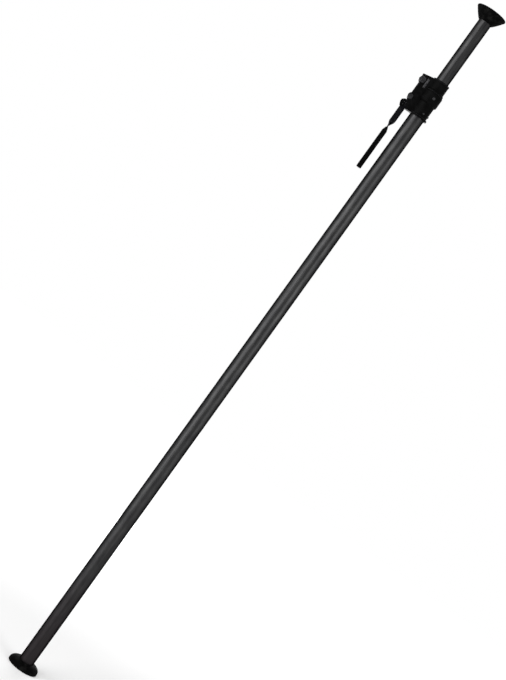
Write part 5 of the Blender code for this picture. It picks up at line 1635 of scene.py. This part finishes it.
    def build_body(self) -> None:
        """Hollows and drills the cast body."""
        bench = self.bench()
        body = self.body_blank()
        self.hollow(body)
        hole = bench.cross_rod(self.lever_pin_hole, self.lever_pivot, self.lever_knuckle_half + OVER)
        work(body, Work.CUT, hole)
        tip = self.cap_screw_tip - self.cap_screw_hole
        drills = self.cap_screw_drills(self.cap_screw_hole, tip, self.split + OVER)
        for angle in self.rivet_angles:
            reach = (TUBE_RADIUS - OVER, self.sleeve + OVER)
            drills.append(bench.drill(self.rivet_hole, angle, self.rivet_level, reach))
        flat = self.guide_flat
        for angle in self.guide_angles:
            drills.append(bench.drill(self.guide_seat, angle, self.guide_level, (flat, flat + 4 * OVER)))
            reach = (self.chamber - OVER, flat + OVER)
            drills.append(bench.drill(self.guide_hole, angle, self.guide_level, reach))
        work(body, Work.CUT, *drills)
        soften(body, self.casting_edge)
        # Painted highlights at the knuckle's ends (partly wear), on the columns' fronts and round the
        # guide-screw seats.
        ends = [sideways(self.lever_pivot, side * self.lever_knuckle_half) for side in SIDES]
        spots = [(end, self.lever_knuckle, self.lever_knuckle_wear_and_highlight) for end in ends]
        spots += self.boss_highlights(self.boss_low + self.boss_taper, self.split - GAP / 2)
        seats = [around(angle, flat, self.guide_level) for angle in self.guide_angles]
        spots += [(seat, self.guide_spot, self.guide_highlight) for seat in seats]
        Pole.add(bench.set_up(body), "clamp_body_casting", "base", CASTING, "clamp_body", worn_and_highlit=spots)

    def cap_blank(self, hood_low: float) -> Piece:
        """The outside of the top cap: ring, flanks with the hood, and the columns of its screws.

        Args:
            hood_low: Level of the hood's lower face.

        Returns:
            The solid blank on the bench.
        """
        bench, low, high = self.bench(), self.cap_bottom + GAP / 2, self.cap_top - GAP / 2
        rim = self.bulge - self.bulge_edge
        outer = [
            (0.0, self.cap_top),
            (self.cap, self.cap_top),
            (self.cap, self.cap_bottom + self.cap_rim + self.cap_slope),
            (rim, self.cap_bottom + self.cap_rim),
            (rim, self.cap_bottom),
            (0.0, self.cap_bottom),
        ]
        side = [
            (0.0, low),
            (self.tower_left, low),
            (self.tower_left, hood_low),
            (self.hood_left, hood_low),
            (self.hood_left, hood_low + self.hood_height),
            (-self.cap, high),
            (0.0, high),
        ]
        blank = bench.turned(eased(outer, self.cap_edge, closed=False))
        columns = self.bosses(low, self.boss_high, 0.0, self.boss_taper)
        flanks = bench.plate(side, -self.tower_half, self.tower_half, View.SIDE)
        work(blank, Work.JOIN, flanks, *columns)
        return blank

    def build_cap(self) -> None:
        """Makes the top cap: ring round the mast, hood over the trigger, and its knuckles."""
        bench = self.bench()
        low, high, pivot = self.cap_bottom - OVER, self.cap_top + OVER, self.trigger_pivot
        hood_low = pivot.z + self.trigger_knuckle + self.hood_room
        cap = self.cap_blank(hood_low)
        bore = MAST_RADIUS + GAP + self.bush_wall + GAP
        bore_cut = bench.rod(bore, Vector((0.0, 0.0, low)), Vector((0.0, 0.0, high)), steps=ROUND_STEPS)
        ceiling = pivot.z + self.trigger_hub + self.hood_room
        hub_right = pivot.x + self.trigger_hub - self.hood_room
        far = self.tower_left - self.tower_half
        window = [
            (far, low),
            (self.pocket_right, low),
            (self.pocket_right, ceiling),
            (hub_right, ceiling),
            (hub_right, hood_low - GAP),
            (far, hood_low - GAP),
        ]
        window_cut = bench.plate(window, -self.pocket_half, self.pocket_half, View.SIDE)
        work(cap, Work.CUT, bore_cut, window_cut)
        for side in SIDES:
            start = sideways(pivot, side * (self.pocket_half + GAP))
            end = sideways(pivot, side * self.trigger_knuckle_half)
            work(cap, Work.JOIN, bench.rod(self.trigger_knuckle, start, end))
        hole = bench.cross_rod(self.trigger_pin_hole, pivot, self.trigger_knuckle_half + OVER)
        work(cap, Work.CUT, hole)
        drills = self.cap_screw_drills(self.cap_screw_hole, low, high)
        drills += self.cap_screw_drills(self.cap_screw_head, self.cap_screw_seat(), high)
        work(cap, Work.CUT, *drills)
        soften(cap, self.casting_edge)
        # Painted highlights at the knuckle's ends (partly wear) and on the columns' fronts.
        ends = [sideways(pivot, side * self.trigger_knuckle_half) for side in SIDES]
        spots = [(end, self.trigger_knuckle, self.trigger_knuckle_wear_and_highlight) for end in ends]
        spots += self.boss_highlights(self.cap_bottom + GAP / 2, self.boss_high - self.boss_taper)
        Pole.add(bench.set_up(cap), "top_cap_casting", "base", CASTING, "top_cap", worn_and_highlit=spots)

    def build_bush(self) -> None:
        """Turns the flanged guide bush."""
        bench = self.bench()
        inner = MAST_RADIUS + GAP
        outer = inner + self.bush_wall
        flange, under = outer + self.bush_flange, self.top - self.bush_flange_thick
        low = self.cap_bottom + self.bush_rise
        profile = [(inner, self.top), (flange, self.top), (flange, under)]
        profile += [(outer, under), (outer, low), (inner, low)]
        bush = bench.turned(eased(profile, self.bush_edge), closed=True, steps=FINE_ROUND_STEPS)
        Pole.add(bench.set_up(bush), "guide_bush_moulding", "base", NYLON, "guide_bush")

    def build_fasteners(self) -> None:
        """Rivets of the sleeve, slotted guide screws and socket screws of the cap."""
        bench = self.bench()
        rivets = ("tube_rivet_front", "tube_rivet_side", "tube_rivet_rear")
        for node, angle in zip(rivets, self.rivet_angles):
            place = around(angle, self.sleeve + GAP, self.rivet_level)
            rivet = self.rivet.place(bench, aimed(radial(angle), place))
            Pole.add(bench.set_up(rivet), f"{node}_domed", "base", HEADS, node)
        for node, angle in zip(("guide_screw_front", "guide_screw_rear"), self.guide_angles):
            place = around(angle, self.guide_flat + GAP, self.guide_level)
            screw = self.guide_screw.place(bench, aimed(radial(angle), place))
            Pole.add(bench.set_up(screw), f"{node}_slotted", "base", HEADS, node)
        seat = self.cap_screw_seat() + GAP
        socket = replace(self.cap_screw, length=seat - self.cap_screw_tip)
        for node, place in zip(("cap_screw_front", "cap_screw_rear"), self.cap_screw_places(seat)):
            screw = socket.place(bench, Matrix.Translation(place))
            Pole.add(bench.set_up(screw), f"{node}_socket", "base", HEADS, node)

    def build_pins(self) -> None:
        """Pivot pin of the lever with its clip, pin and spring of the trigger."""
        bench, outside = self.bench(), self.lever_knuckle_half + GAP
        lever = self.lever_pin.place(bench, self.lever_pivot, outside)
        Pole.add(bench.set_up(lever), "lever_pin_turned", "base", HEADS, "lever_pivot_pin")
        trigger = self.trigger_pin.place(bench, self.trigger_pivot, self.trigger_knuckle_half + GAP)
        Pole.add(bench.set_up(trigger), "trigger_pin_turned", "base", HEADS, "trigger_pin")
        clip = self.clip.place(bench, self.lever_pivot, outside)
        Pole.add(bench.set_up(clip), "pivot_clip_e_ring", "base", SPRING, "pivot_clip")
        coil = self.trigger_coil.place(bench, self.trigger_pivot)
        Pole.add(bench.set_up(coil), "trigger_spring_wound", "base", SPRING, "trigger_spring")


@dataclass(frozen=True)
class JamSpring:
    """Wound spring round the mast, between the cage's lid and the canted jam plate that it holds down."""

    radius: float = 21.5 * MM
    wire: float = 0.7 * MM
    turns: float = 3.0
    low: float = 1961.711 * MM
    high: float = 1970.3 * MM
    # How far the end turns are drawn together
    closing: float = 0.5
    cant: float = 3.0
    foot_turn: float = 1961.5 * MM
    steps_per_turn: int = 64
    wire_steps: int = 14

    def build(self) -> None:
        """Winds the spring, its head on the cage's lid and its foot on the plate."""
        bench = Bench(self.high)
        count = round(self.turns * self.steps_per_turn)
        lean = math.tan(math.radians(self.cant))
        path = []
        for i in range(count + 1):
            share = i / count
            angle = math.tau * self.turns * share
            out = Vector((math.cos(angle), math.sin(angle), 0.0))
            climb = share + (gentle(share) - share) * self.closing
            foot = self.low + lean * (out.x - 1) * self.radius
            path.append((out * self.radius + Vector((0.0, 0.0, foot + (self.high - foot) * climb)), out))
        spring = bench.set_up(bench.wire(path, Vector((0.0, 0.0, 1.0)), self.wire, self.wire_steps))
        Pole.add(spring, "jam_spring_wound", None, SPRING, "jam_spring")
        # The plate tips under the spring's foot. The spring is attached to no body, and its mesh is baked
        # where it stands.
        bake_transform(spring)


# Release trigger


@dataclass(frozen=True)
class Trigger:
    """Moulded release trigger: thumb pad with grip ribs, hub, and a finger under the jam plate's tail."""

    pivot: Vector = TRIGGER_PIVOT
    pad: float = 9.0 * MM
    hub: float = 6.2 * MM
    half: float = 7.0 * MM
    lip: float = 1.3 * MM
    toe_thick: float = 4.5 * MM
    toe_right: float = -35.0 * MM
    toe_top: float = 1977.054 * MM
    corner: float = 0.6 * MM
    edge: float = 0.5 * MM
    pin_hole: float = 2.8 * MM
    spring_seat: float = 4.7 * MM
    spring_seat_depth: float = 5.2 * MM
    # The arcs of the pad above and below its lip, and of the hub
    upper: Span = (100.0, 168.0, 16)
    lower: Span = (190.0, 235.0, 10)
    round_hub: Span = (-10.0, 75.0, 12)
    rib: float = 0.55 * MM
    rib_angles: tuple[float, ...] = (108.0, 119.0, 130.0, 141.0, 152.0)

    def build(self) -> None:
        """Makes the trigger from its side view, then cuts its pin hole, spring seat and rib grooves."""
        bench = Bench(self.pivot.z)
        x, z = self.pivot.x, self.pivot.z
        outline = arc((x, z), self.pad, *self.upper)
        outline += [(x - self.pad - self.lip, z + self.lip), (x - self.pad - self.lip, z - self.lip / 2)]
        outline += arc((x, z), self.pad, *self.lower)
        toe_low = self.toe_top - self.toe_thick
        outline += [(x + self.lip, z - self.hub), (x + self.toe_thick, toe_low), (self.toe_right, toe_low)]
        outline += [(self.toe_right, self.toe_top), (x + self.hub + self.lip, self.toe_top)]
        outline += arc((x, z), self.hub, *self.round_hub)
        trigger = bench.plate(eased(outline, self.corner), -self.half, self.half, View.SIDE, self.edge)
        hole = bench.cross_rod(self.pin_hole, self.pivot, self.half + OVER)
        floor = sideways(self.pivot, self.half - self.spring_seat_depth)
        seat = bench.rod(self.spring_seat, floor, sideways(self.pivot, self.half + OVER))
        work(trigger, Work.CUT, hole, seat)
        grooves = []
        for angle in self.rib_angles:
            out = Vector((math.cos(math.radians(angle)), 0.0, math.sin(math.radians(angle))))
            grooves.append(bench.cross_rod(self.rib, self.pivot + out * self.pad, self.half + OVER))
        work(trigger, Work.CUT, *grooves)
        Pole.add(bench.set_up(trigger), "release_trigger_moulding", "trigger", PLASTIC, "release_trigger")


# Lever


@dataclass(frozen=True)
class Lever:
    """Lever: twisted steel blade, two riveted cams, moulded grip, and the pin and spring of its catch."""

    pivot: Vector = LEVER_PIVOT
    pin_hole: float = 4.3 * MM
    thick: float = 4.0 * MM
    half: float = 8.6 * MM
    offset: float = -0.8 * MM
    hub: float = 6.9 * MM
    hub_start: float = 87.3
    hub_steps: int = 16
    neck_left: float = 4.4 * MM
    neck_top: float = 7.0 * MM
    neck_bottom: float = 15.0 * MM
    neck_slope: float = 3.0 * MM
    # How steeply the neck's notch opens, upwards and downwards
    notch_slopes: Point = (1.2, 0.6)
    flat: float = 76.0 * MM
    twist: float = 25.0 * MM
    twist_steps: int = 24
    tang: float = 6.5 * MM
    tang_end: float = 8.3 * MM
    set_out: float = 2.0 * MM
    edge: float = 0.6 * MM
    cam_rise: float = 15.5 * MM
    cam_thick: float = 3.0 * MM
    cam_heel: float = 8.3 * MM
    cam_heel_span: Span = (-35.0, 20.0, 16)
    cam_tail: float = 24.0 * MM
    cam_tail_half: float = 7.4 * MM
    cam_chamfer: float = 3.0 * MM
    cam_corner: float = 1.2 * MM
    cam_edge: float = 0.3 * MM
    cam_steps: int = 48
    lift: float = 8.0 * MM
    swing: float = 110.0
    overturn: float = 4.0
    rivet: float = 1.4 * MM
    rivet_drops: Point = (12.5 * MM, 19.5 * MM)
    rivet_ease: float = 0.4 * MM
    grip_length: float = 136.0 * MM
    grip_taper: float = 12.0 * MM
    grip_neck: float = 4.0 * MM
    grip_thick: float = 7.3 * MM
    grip_wide: float = 11.0 * MM
    grip_round: float = 3.4 * MM
    # Half sizes and corner of the grip's mouth, which is where it is thinnest
    mouth_thick: float = 3.4 * MM
    mouth_wide: float = 8.1 * MM
    mouth_round: float = 1.4 * MM
    grip_end: float = 2.5 * MM
    grip_steps: int = 12
    grip_floor: float = 8.0 * MM
    grip_rivet: float = 1.6 * MM
    grip_rivet_drop: float = 12.0 * MM
    catch_pivot: Vector = CATCH_PIVOT
    catch_pin: float = 1.5 * MM
    catch_pin_ends: float = 2.0 * MM
    catch_pin_ease: float = 0.3 * MM
    catch_coil: Coil = Coil(2.1 * MM, 0.3 * MM, 1.5, 2.6 * MM, 4.7 * MM)

    def bench(self) -> Bench:
        """The workplace of the cams, the blade and the catch's pin."""
        return Bench(self.pivot.z)

    def build(self) -> None:
        """Makes the whole lever."""
        self.build_cams()
        self.build_blade()
        self.build_grip()
        self.build_catch_pin()

    def slot_half(self) -> float:
        """Half the thickness of blade and cams together."""
        return self.thick / 2 + GAP + self.cam_thick

    def rivet_place(self, drop: float) -> Vector:
        """Place of a cam rivet below the pivot."""
        return self.pivot + Vector((self.offset, 0.0, -drop))

    def rivet_drills(self, half: float) -> list[Piece]:
        """Drills at the pivot and at both cam rivets.

        Args:
            half: Half their length.

        Returns:
            The three drills on the bench.
        """
        drills = [self.bench().cross_rod(self.pin_hole, self.pivot, half)]
        for drop in self.rivet_drops:
            drills.append(self.bench().cross_rod(self.rivet + GAP, self.rivet_place(drop), half))
        return drills

    def cam_outline(self) -> list[Point]:
        """Side view of a cam, whose top is an involute.

        Returns:
            (x, z) points.
        """
        x, z = self.pivot.x, self.pivot.z
        pitch = self.lift / math.radians(self.swing)
        points = []
        for i in range(self.cam_steps + 1):
            turn = math.radians(self.swing + self.overturn) * i / self.cam_steps
            reach = self.cam_rise - pitch * turn
            out = (-math.sin(turn), math.cos(turn))
            along = (-math.cos(turn), -math.sin(turn))
            points.append((x + reach * out[0] - pitch * along[0], z + reach * out[1] - pitch * along[1]))
        left, right = x + self.offset - self.cam_tail_half, x + self.offset + self.cam_tail_half
        neck, low, bevel = x - self.neck_left, z - self.cam_tail, self.cam_chamfer
        tail = [points[-1], (neck, z - self.neck_top), (neck, z - self.neck_bottom)]
        tail += [(left, z - self.neck_bottom - self.neck_slope), (left, low + bevel), (left + bevel, low)]
        tail += [(right - bevel, low), (right, low + bevel)]
        points += eased(tail, self.cam_corner, closed=False)[1:]
        return points + arc((x, z), self.cam_heel, *self.cam_heel_span)

    def build_cams(self) -> None:
        """Makes both cam plates and the rivets that hold them to the blade."""
        bench, half = self.bench(), self.slot_half()
        for side, name in zip(SIDES, ("cam_plate_front", "cam_plate_rear")):
            low, high = sorted((side * (self.thick / 2 + GAP), side * half))
            cam = bench.plate(self.cam_outline(), low, high, View.SIDE, self.cam_edge)
            work(cam, Work.CUT, *self.rivet_drills(half + OVER))
            Pole.add(bench.set_up(cam), f"{name}_stamped", "lever", STEEL, name)
        for name, drop in zip(("cam_rivet_upper", "cam_rivet_lower"), self.rivet_drops):
            seat = aimed(ACROSS, self.rivet_place(drop))
            rivet = bench.plain_pin(self.rivet, half, self.rivet_ease, seat)
            Pole.add(bench.set_up(rivet), f"{name}_flush", "lever", HEADS, name)

    def section(self, height: float, wide: float, middle: float, twist: float = 0.0) -> Section:
        """A section of the blade of this half width, its height and middle counted from the pivot."""
        level, across = self.pivot.z + height, self.pivot.x + middle
        return Section(level, wide, self.thick / 2, self.edge, across, twist)

    def sections(self) -> list[Section]:
        """Sections down the blade: round hub, neck, flat, quarter twist and tang.

        Returns:
            The sections in order.
        """
        cut = []
        for i in range(self.hub_steps):
            angle = math.radians(self.hub_start * (1 - i / self.hub_steps))
            cut.append(self.section(self.hub * math.sin(angle), self.hub * math.cos(angle), 0.0))
        cut.append(self.section(0.0, self.hub, 0.0))
        cut.append(self.section(-self.neck_top / 2, self.hub, 0.0))
        cut.append(self.section(-self.neck_bottom, self.half, self.offset))
        cut.append(self.section(-self.flat, self.half, self.offset))
        for i in range(1, self.twist_steps + 1):
            share = i / self.twist_steps
            ease = gentle(share)
            wide = self.half + (self.tang - self.half) * ease
            middle = self.offset - self.set_out * ease
            cut.append(self.section(-self.flat - self.twist * share, wide, middle, 90.0 * ease))
        end = self.grip_top() - self.grip_length + self.tang_end - self.pivot.z
        cut.append(self.section(end, self.tang, self.offset - self.set_out, 90.0))
        return cut

    def grip_top(self) -> float:
        """Level of the grip's upper end."""
        return self.pivot.z - self.flat - self.twist - self.grip_neck

    def grip_middle(self) -> float:
        """Place of the grip's middle in x."""
        return self.pivot.x + self.offset - self.set_out

    def grip_rivet_place(self) -> Vector:
        """Place of the grip's rivet."""
        level = self.grip_top() - self.grip_taper - self.grip_rivet_drop
        return Vector((self.grip_middle(), 0.0, level))

    def grip_drill(self, bench: Bench) -> Piece:
        """A drill along X through grip and tang, at the grip's rivet.

        Args:
            bench: Where it is used.

        Returns:
            The drill on the bench.
        """
        reach = Vector((self.grip_thick + OVER, 0.0, 0.0))
        middle = self.grip_rivet_place()
        return bench.rod(self.grip_rivet + GAP, middle - reach, middle + reach)

    def build_blade(self) -> None:
        """Makes the blade with its rounded edges, then cuts its neck and drills it."""
        bench = self.bench()
        blade = bench.loft(self.sections())
        x, z, half = self.pivot.x, self.pivot.z, self.slot_half() + OVER
        far, neck = x - 2 * self.half, x - self.neck_left
        rise, fall = ((neck - far) * slope for slope in self.notch_slopes)
        notch = [(far, z - self.neck_top + rise), (neck, z - self.neck_top)]
        notch += [(neck, z - self.neck_bottom), (far, z - self.neck_bottom - fall)]
        tools = [bench.plate(notch, -half, half, View.SIDE), *self.rivet_drills(half)]
        tools.append(bench.cross_rod(self.catch_pin + GAP, self.catch_pivot, half))
        tools.append(self.grip_drill(bench))
        work(blade, Work.CUT, *tools)
        Pole.add(bench.set_up(blade), "lever_blade_forged", "lever", STEEL, "lever_blade")

    def build_grip(self) -> None:
        """Moulds the grip: a tapered mouth, long rounded flanks and a rounded end."""
        top, middle, steps = self.grip_top(), self.grip_middle(), self.grip_steps
        mouth = (self.mouth_thick, self.mouth_wide, self.mouth_round)
        full = (self.grip_thick, self.grip_wide, self.grip_round)
        rings = []
        for i in range(steps + 1):
            share = i / steps
            sizes = (small + (large - small) * share for small, large in zip(mouth, full))
            rings.append(Section(top - self.grip_taper * share, *sizes, middle))
        end = top - self.grip_length
        for i in range(1, steps + 1):
            drop = (self.grip_length - self.grip_taper - self.grip_end) * i / steps
            rings.append(Section(top - self.grip_taper - drop, *full, middle))
        for i in range(1, steps // 2 + 1):
            angle = math.radians(90.0 * i / (steps // 2))
            inset = self.grip_end * (1 - math.cos(angle))
            level = end + self.grip_end * (1 - math.sin(angle))
            rings.append(Section(level, full[0] - inset, full[1] - inset, full[2], middle))
        bench = Bench(top - self.grip_taper)
        grip = bench.loft(rings)
        half, deep = self.thick / 2 + GAP, self.tang + GAP
        pocket = rectangle((middle - half, middle + half), (-deep, deep))
        socket = bench.plate(pocket, end + self.grip_floor, top + OVER, View.PLAN)
        work(grip, Work.CUT, socket, self.grip_drill(bench))
        Pole.add(bench.set_up(grip), "lever_grip_moulding", "lever", PLASTIC, "lever_grip")
        seat = aimed(Vector((1.0, 0.0, 0.0)), self.grip_rivet_place())
        rivet = bench.plain_pin(self.grip_rivet, self.grip_thick - GAP, self.rivet_ease, seat)
        Pole.add(bench.set_up(rivet), "grip_rivet_flush", "lever", HEADS, "grip_rivet")

    def build_catch_pin(self) -> None:
        """Makes the pin and spring of the safety catch."""
        bench, half = self.bench(), self.slot_half() + self.catch_pin_ends
        pin = bench.plain_pin(self.catch_pin, half, self.catch_pin_ease, aimed(ACROSS, self.catch_pivot))
        Pole.add(bench.set_up(pin), "catch_pin_turned", "lever", HEADS, "catch_pin")
        coil = self.catch_coil.place(bench, self.catch_pivot)
        Pole.add(bench.set_up(coil), "catch_spring_wound", "lever", SPRING, "catch_spring")


@dataclass(frozen=True)
class Catch:
    """Moulded safety catch: a thumb tab that straddles the blade."""

    pivot: Vector = CATCH_PIVOT
    reach: float = 10.3 * MM
    back: float = 4.6 * MM
    low: float = 6.2 * MM
    high: float = 16.6 * MM
    pin: float = 1.5 * MM
    web: float = 3.2 * MM
    slot_half: float = 5.6 * MM
    cheek: float = 2.0 * MM
    corner: float = 1.4 * MM
    edge: float = 0.5 * MM

    def build(self) -> None:
        """Makes the catch from its side view, then cuts its throat and pin hole."""
        bench = Bench(self.pivot.z)
        x, z = self.pivot.x, self.pivot.z
        left, right, low, high = x - self.reach, x + self.back, z - self.low, z + self.high
        outline = [
            (left + self.back, high - self.back / 2),
            (left + GAP, high - self.low),
            (left, z + self.back),
            (left + self.back / 2, z - self.pin),
            (left + self.back, low),
            (x, low),
            (right, z - self.low / 2),
            (right, z + self.pin),
            (x + self.back / 2, z + self.back),
            (x + self.pin, high),
            (x - self.pin, high),
        ]
        half = self.slot_half + self.cheek
        catch = bench.plate(eased(outline, self.corner), -half, half, View.SIDE, self.edge)
        throat = rectangle((left + self.web, right + OVER), (low - OVER, high + OVER))
        cut = bench.plate(throat, -self.slot_half, self.slot_half, View.SIDE)
        work(catch, Work.CUT, cut, bench.cross_rod(self.pin + GAP, self.pivot, half + OVER))
        Pole.add(bench.set_up(catch), "safety_catch_moulding", "catch", PLASTIC, "safety_catch")


# Pieces inside the clamp and the tubes, which keep their CAD shape


@dataclass(frozen=True)
class Insides:
    """What sits inside the clamp and the tubes."""

    mouldings: tuple[str, ...] = (
        "foot_plug",
        "head_plug",
        "slider_plug",
        "follower_pad",
        "turn_ring",
        "lift_cage",
        "cage_lid",
    )
    steels: tuple[str, ...] = ("jam_plate", "pad_screw", "slider_rivet_left", "slider_rivet_right")

    def dress(self) -> None:
        """Gives each piece its finish."""
        Pole.keep(NYLON, *self.mouldings)
        Pole.keep(STEEL, *self.steels)


# Studio


@dataclass(frozen=True)
class Camera:
    """The photograph's viewpoint: chest height, level with the pole's middle, rolled clockwise."""

    place: Place = (0.0, -4.5, 1.30)
    aim: Place = (-0.00914, 0.0, 1.12877)
    roll: float = 35.704
    lens: float = 85.357
    sensor: float = 36.0
    nearest: float = 0.05
    farthest: float = 60.0

    def build(self) -> None:
        """Adds the camera and makes it the scene's."""
        data = bpy.data.cameras.new("photo_camera")
        data.lens = self.lens
        data.sensor_width = self.sensor
        data.clip_start, data.clip_end = self.nearest, self.farthest
        camera = bpy.data.objects.new("photo_camera", data)
        bpy.context.scene.collection.objects.link(camera)
        away = (Vector(self.aim) - Vector(self.place)).normalized()
        right = away.cross(Vector((0.0, 0.0, 1.0))).normalized()
        up = right.cross(away)
        cos, sin = math.cos(math.radians(self.roll)), math.sin(math.radians(self.roll))
        across, upward = right * cos + up * sin, up * cos - right * sin
        turn = Matrix((across, upward, -away)).transposed().to_4x4()
        camera.matrix_world = Matrix.Translation(self.place) @ turn
        bpy.context.scene.camera = camera


@dataclass(frozen=True)
class Softbox:
    """A tall diffused lamp that faces the pole."""

    name: str
    angle: float
    watts: float
    distance: float = 3.0
    height: float = 1.72
    wide: float = 2.0
    tall: float = 3.3

    def build(self) -> None:
        """Adds the lamp, hidden from the camera, at an angle from the camera's side in degrees."""
        data = bpy.data.lights.new(self.name, "AREA")
        data.shape = "RECTANGLE"
        data.size, data.size_y = self.wide, self.tall
        data.energy = self.watts
        lamp = bpy.data.objects.new(self.name, data)
        bpy.context.scene.collection.objects.link(lamp)
        turn = math.radians(self.angle)
        place = Vector((math.sin(turn), -math.cos(turn), 0.0)) * self.distance
        place.z = self.height
        target = Vector((0.0, 0.0, self.height))
        lamp.matrix_world = aimed(target - place, place, "-Z")
        lamp.visible_camera = False


@dataclass(frozen=True)
class Studio:
    """Pale floor, white surround and soft lamps."""

    surround: float = 0.29
    floor_half: float = 8.0
    floor_colour: str = "#e6e6e6"
    foot_glow: float = 0.235
    far_glow: float = 0.85
    glow_from: Point = (0.5, 3.0)
    lamps: tuple[Softbox, ...] = (
        Softbox("softbox_left", -45.0, 131.0, wide=2.5),
        Softbox("softbox_right", 51.0, 38.0, height=1.42, wide=1.9, tall=1.2),
        Softbox("softbox_back", 180.0, 60.0, wide=1.6),
    )

    def build(self) -> None:
        """Adds the world, the floor and the lamps."""
        self.build_world()
        self.build_floor()
        for lamp in self.lamps:
            lamp.build()

    def seen(self, tree: bpy.types.NodeTree) -> Socket:
        """Tells rays that show a background from rays that carry light.

        Args:
            tree: The node tree.

        Returns:
            1 for camera, glossy and transmission rays, else 0.
        """
        path = add_node(tree, "ShaderNodeLightPath")
        shown = path.outputs["Is Camera Ray"]
        for other in ("Is Glossy Ray", "Is Transmission Ray"):
            inputs = {0: shown, 1: path.outputs[other]}
            shown = add_node(tree, "ShaderNodeMath", {"operation": "MAXIMUM"}, inputs).outputs["Value"]
        return shown

    def build_world(self) -> None:
        """White world where it is seen, and a soft even light elsewhere."""
        world = bpy.data.worlds.new("studio")
        world.use_nodes = True
        world.node_tree.nodes.clear()
        tree = world.node_tree
        inputs = {"Value": self.seen(tree), 3: self.surround, 4: 1.0}
        level = add_node(tree, "ShaderNodeMapRange", inputs=inputs).outputs["Result"]
        inputs = {"Color": linear("#ffffff"), "Strength": level}
        white = add_node(tree, "ShaderNodeBackground", inputs=inputs)
        add_node(tree, "ShaderNodeOutputWorld", inputs={"Surface": white.outputs["Background"]})
        bpy.context.scene.world = world

    def build_floor(self) -> None:
        """Pale floor that keeps the pole's shadow and runs out into white where it is seen."""
        half = self.floor_half
        corners = [(-half, -half, 0.0), (half, -half, 0.0), (half, half, 0.0), (-half, half, 0.0)]
        floor = new_object("floor", corners, [[0, 1, 2, 3]])
        material = bpy.data.materials.new("paper_sweep_matt")
        material.use_nodes = True
        tree = material.node_tree
        tree.nodes.clear()
        inputs = {"Color": linear(self.floor_colour), "Roughness": 0.0}
        paper = add_node(tree, "ShaderNodeBsdfDiffuse", inputs=inputs)
        # The lamps light the floor about the foot, so that it needs less glow there and keeps the shadow.
        place = add_node(tree, "ShaderNodeTexCoord").outputs["Object"]
        away = add_node(tree, "ShaderNodeVectorMath", {"operation": "LENGTH"}, {0: place}).outputs["Value"]
        start, end = self.glow_from
        inputs = {"Value": away, 1: start, 2: end, 3: self.foot_glow, 4: self.far_glow}
        level = add_node(tree, "ShaderNodeMapRange", inputs=inputs).outputs["Result"]
        glow = add_node(tree, "ShaderNodeMath", {"operation": "MULTIPLY"}, {0: self.seen(tree), 1: level})
        light = add_node(tree, "ShaderNodeEmission", inputs={"Strength": glow.outputs["Value"]})
        both = add_node(tree, "ShaderNodeAddShader", inputs={0: paper.outputs[0], 1: light.outputs[0]})
        add_node(tree, "ShaderNodeOutputMaterial", inputs={"Surface": both.outputs["Shader"]})
        floor.data.materials.append(material)


def main() -> None:
    """Builds the camera, the studio and each sub-assembly in order."""
    logging.basicConfig(level=logging.INFO, format="%(message)s")
    bpy.context.scene.view_settings.view_transform = "Standard"
    Camera().build()
    Studio().build()
    FOOT.build()
    LOWER_TUBE.build()
    Clamp().build()
    Trigger().build()
    Lever().build()
    Catch().build()
    MAST_TUBE.build()
    HEAD.build()
    JamSpring().build()
    Insides().dress()
    LOG.info("%d pieces made", Pole.pieces)


if __name__ == "__main__":
    main()
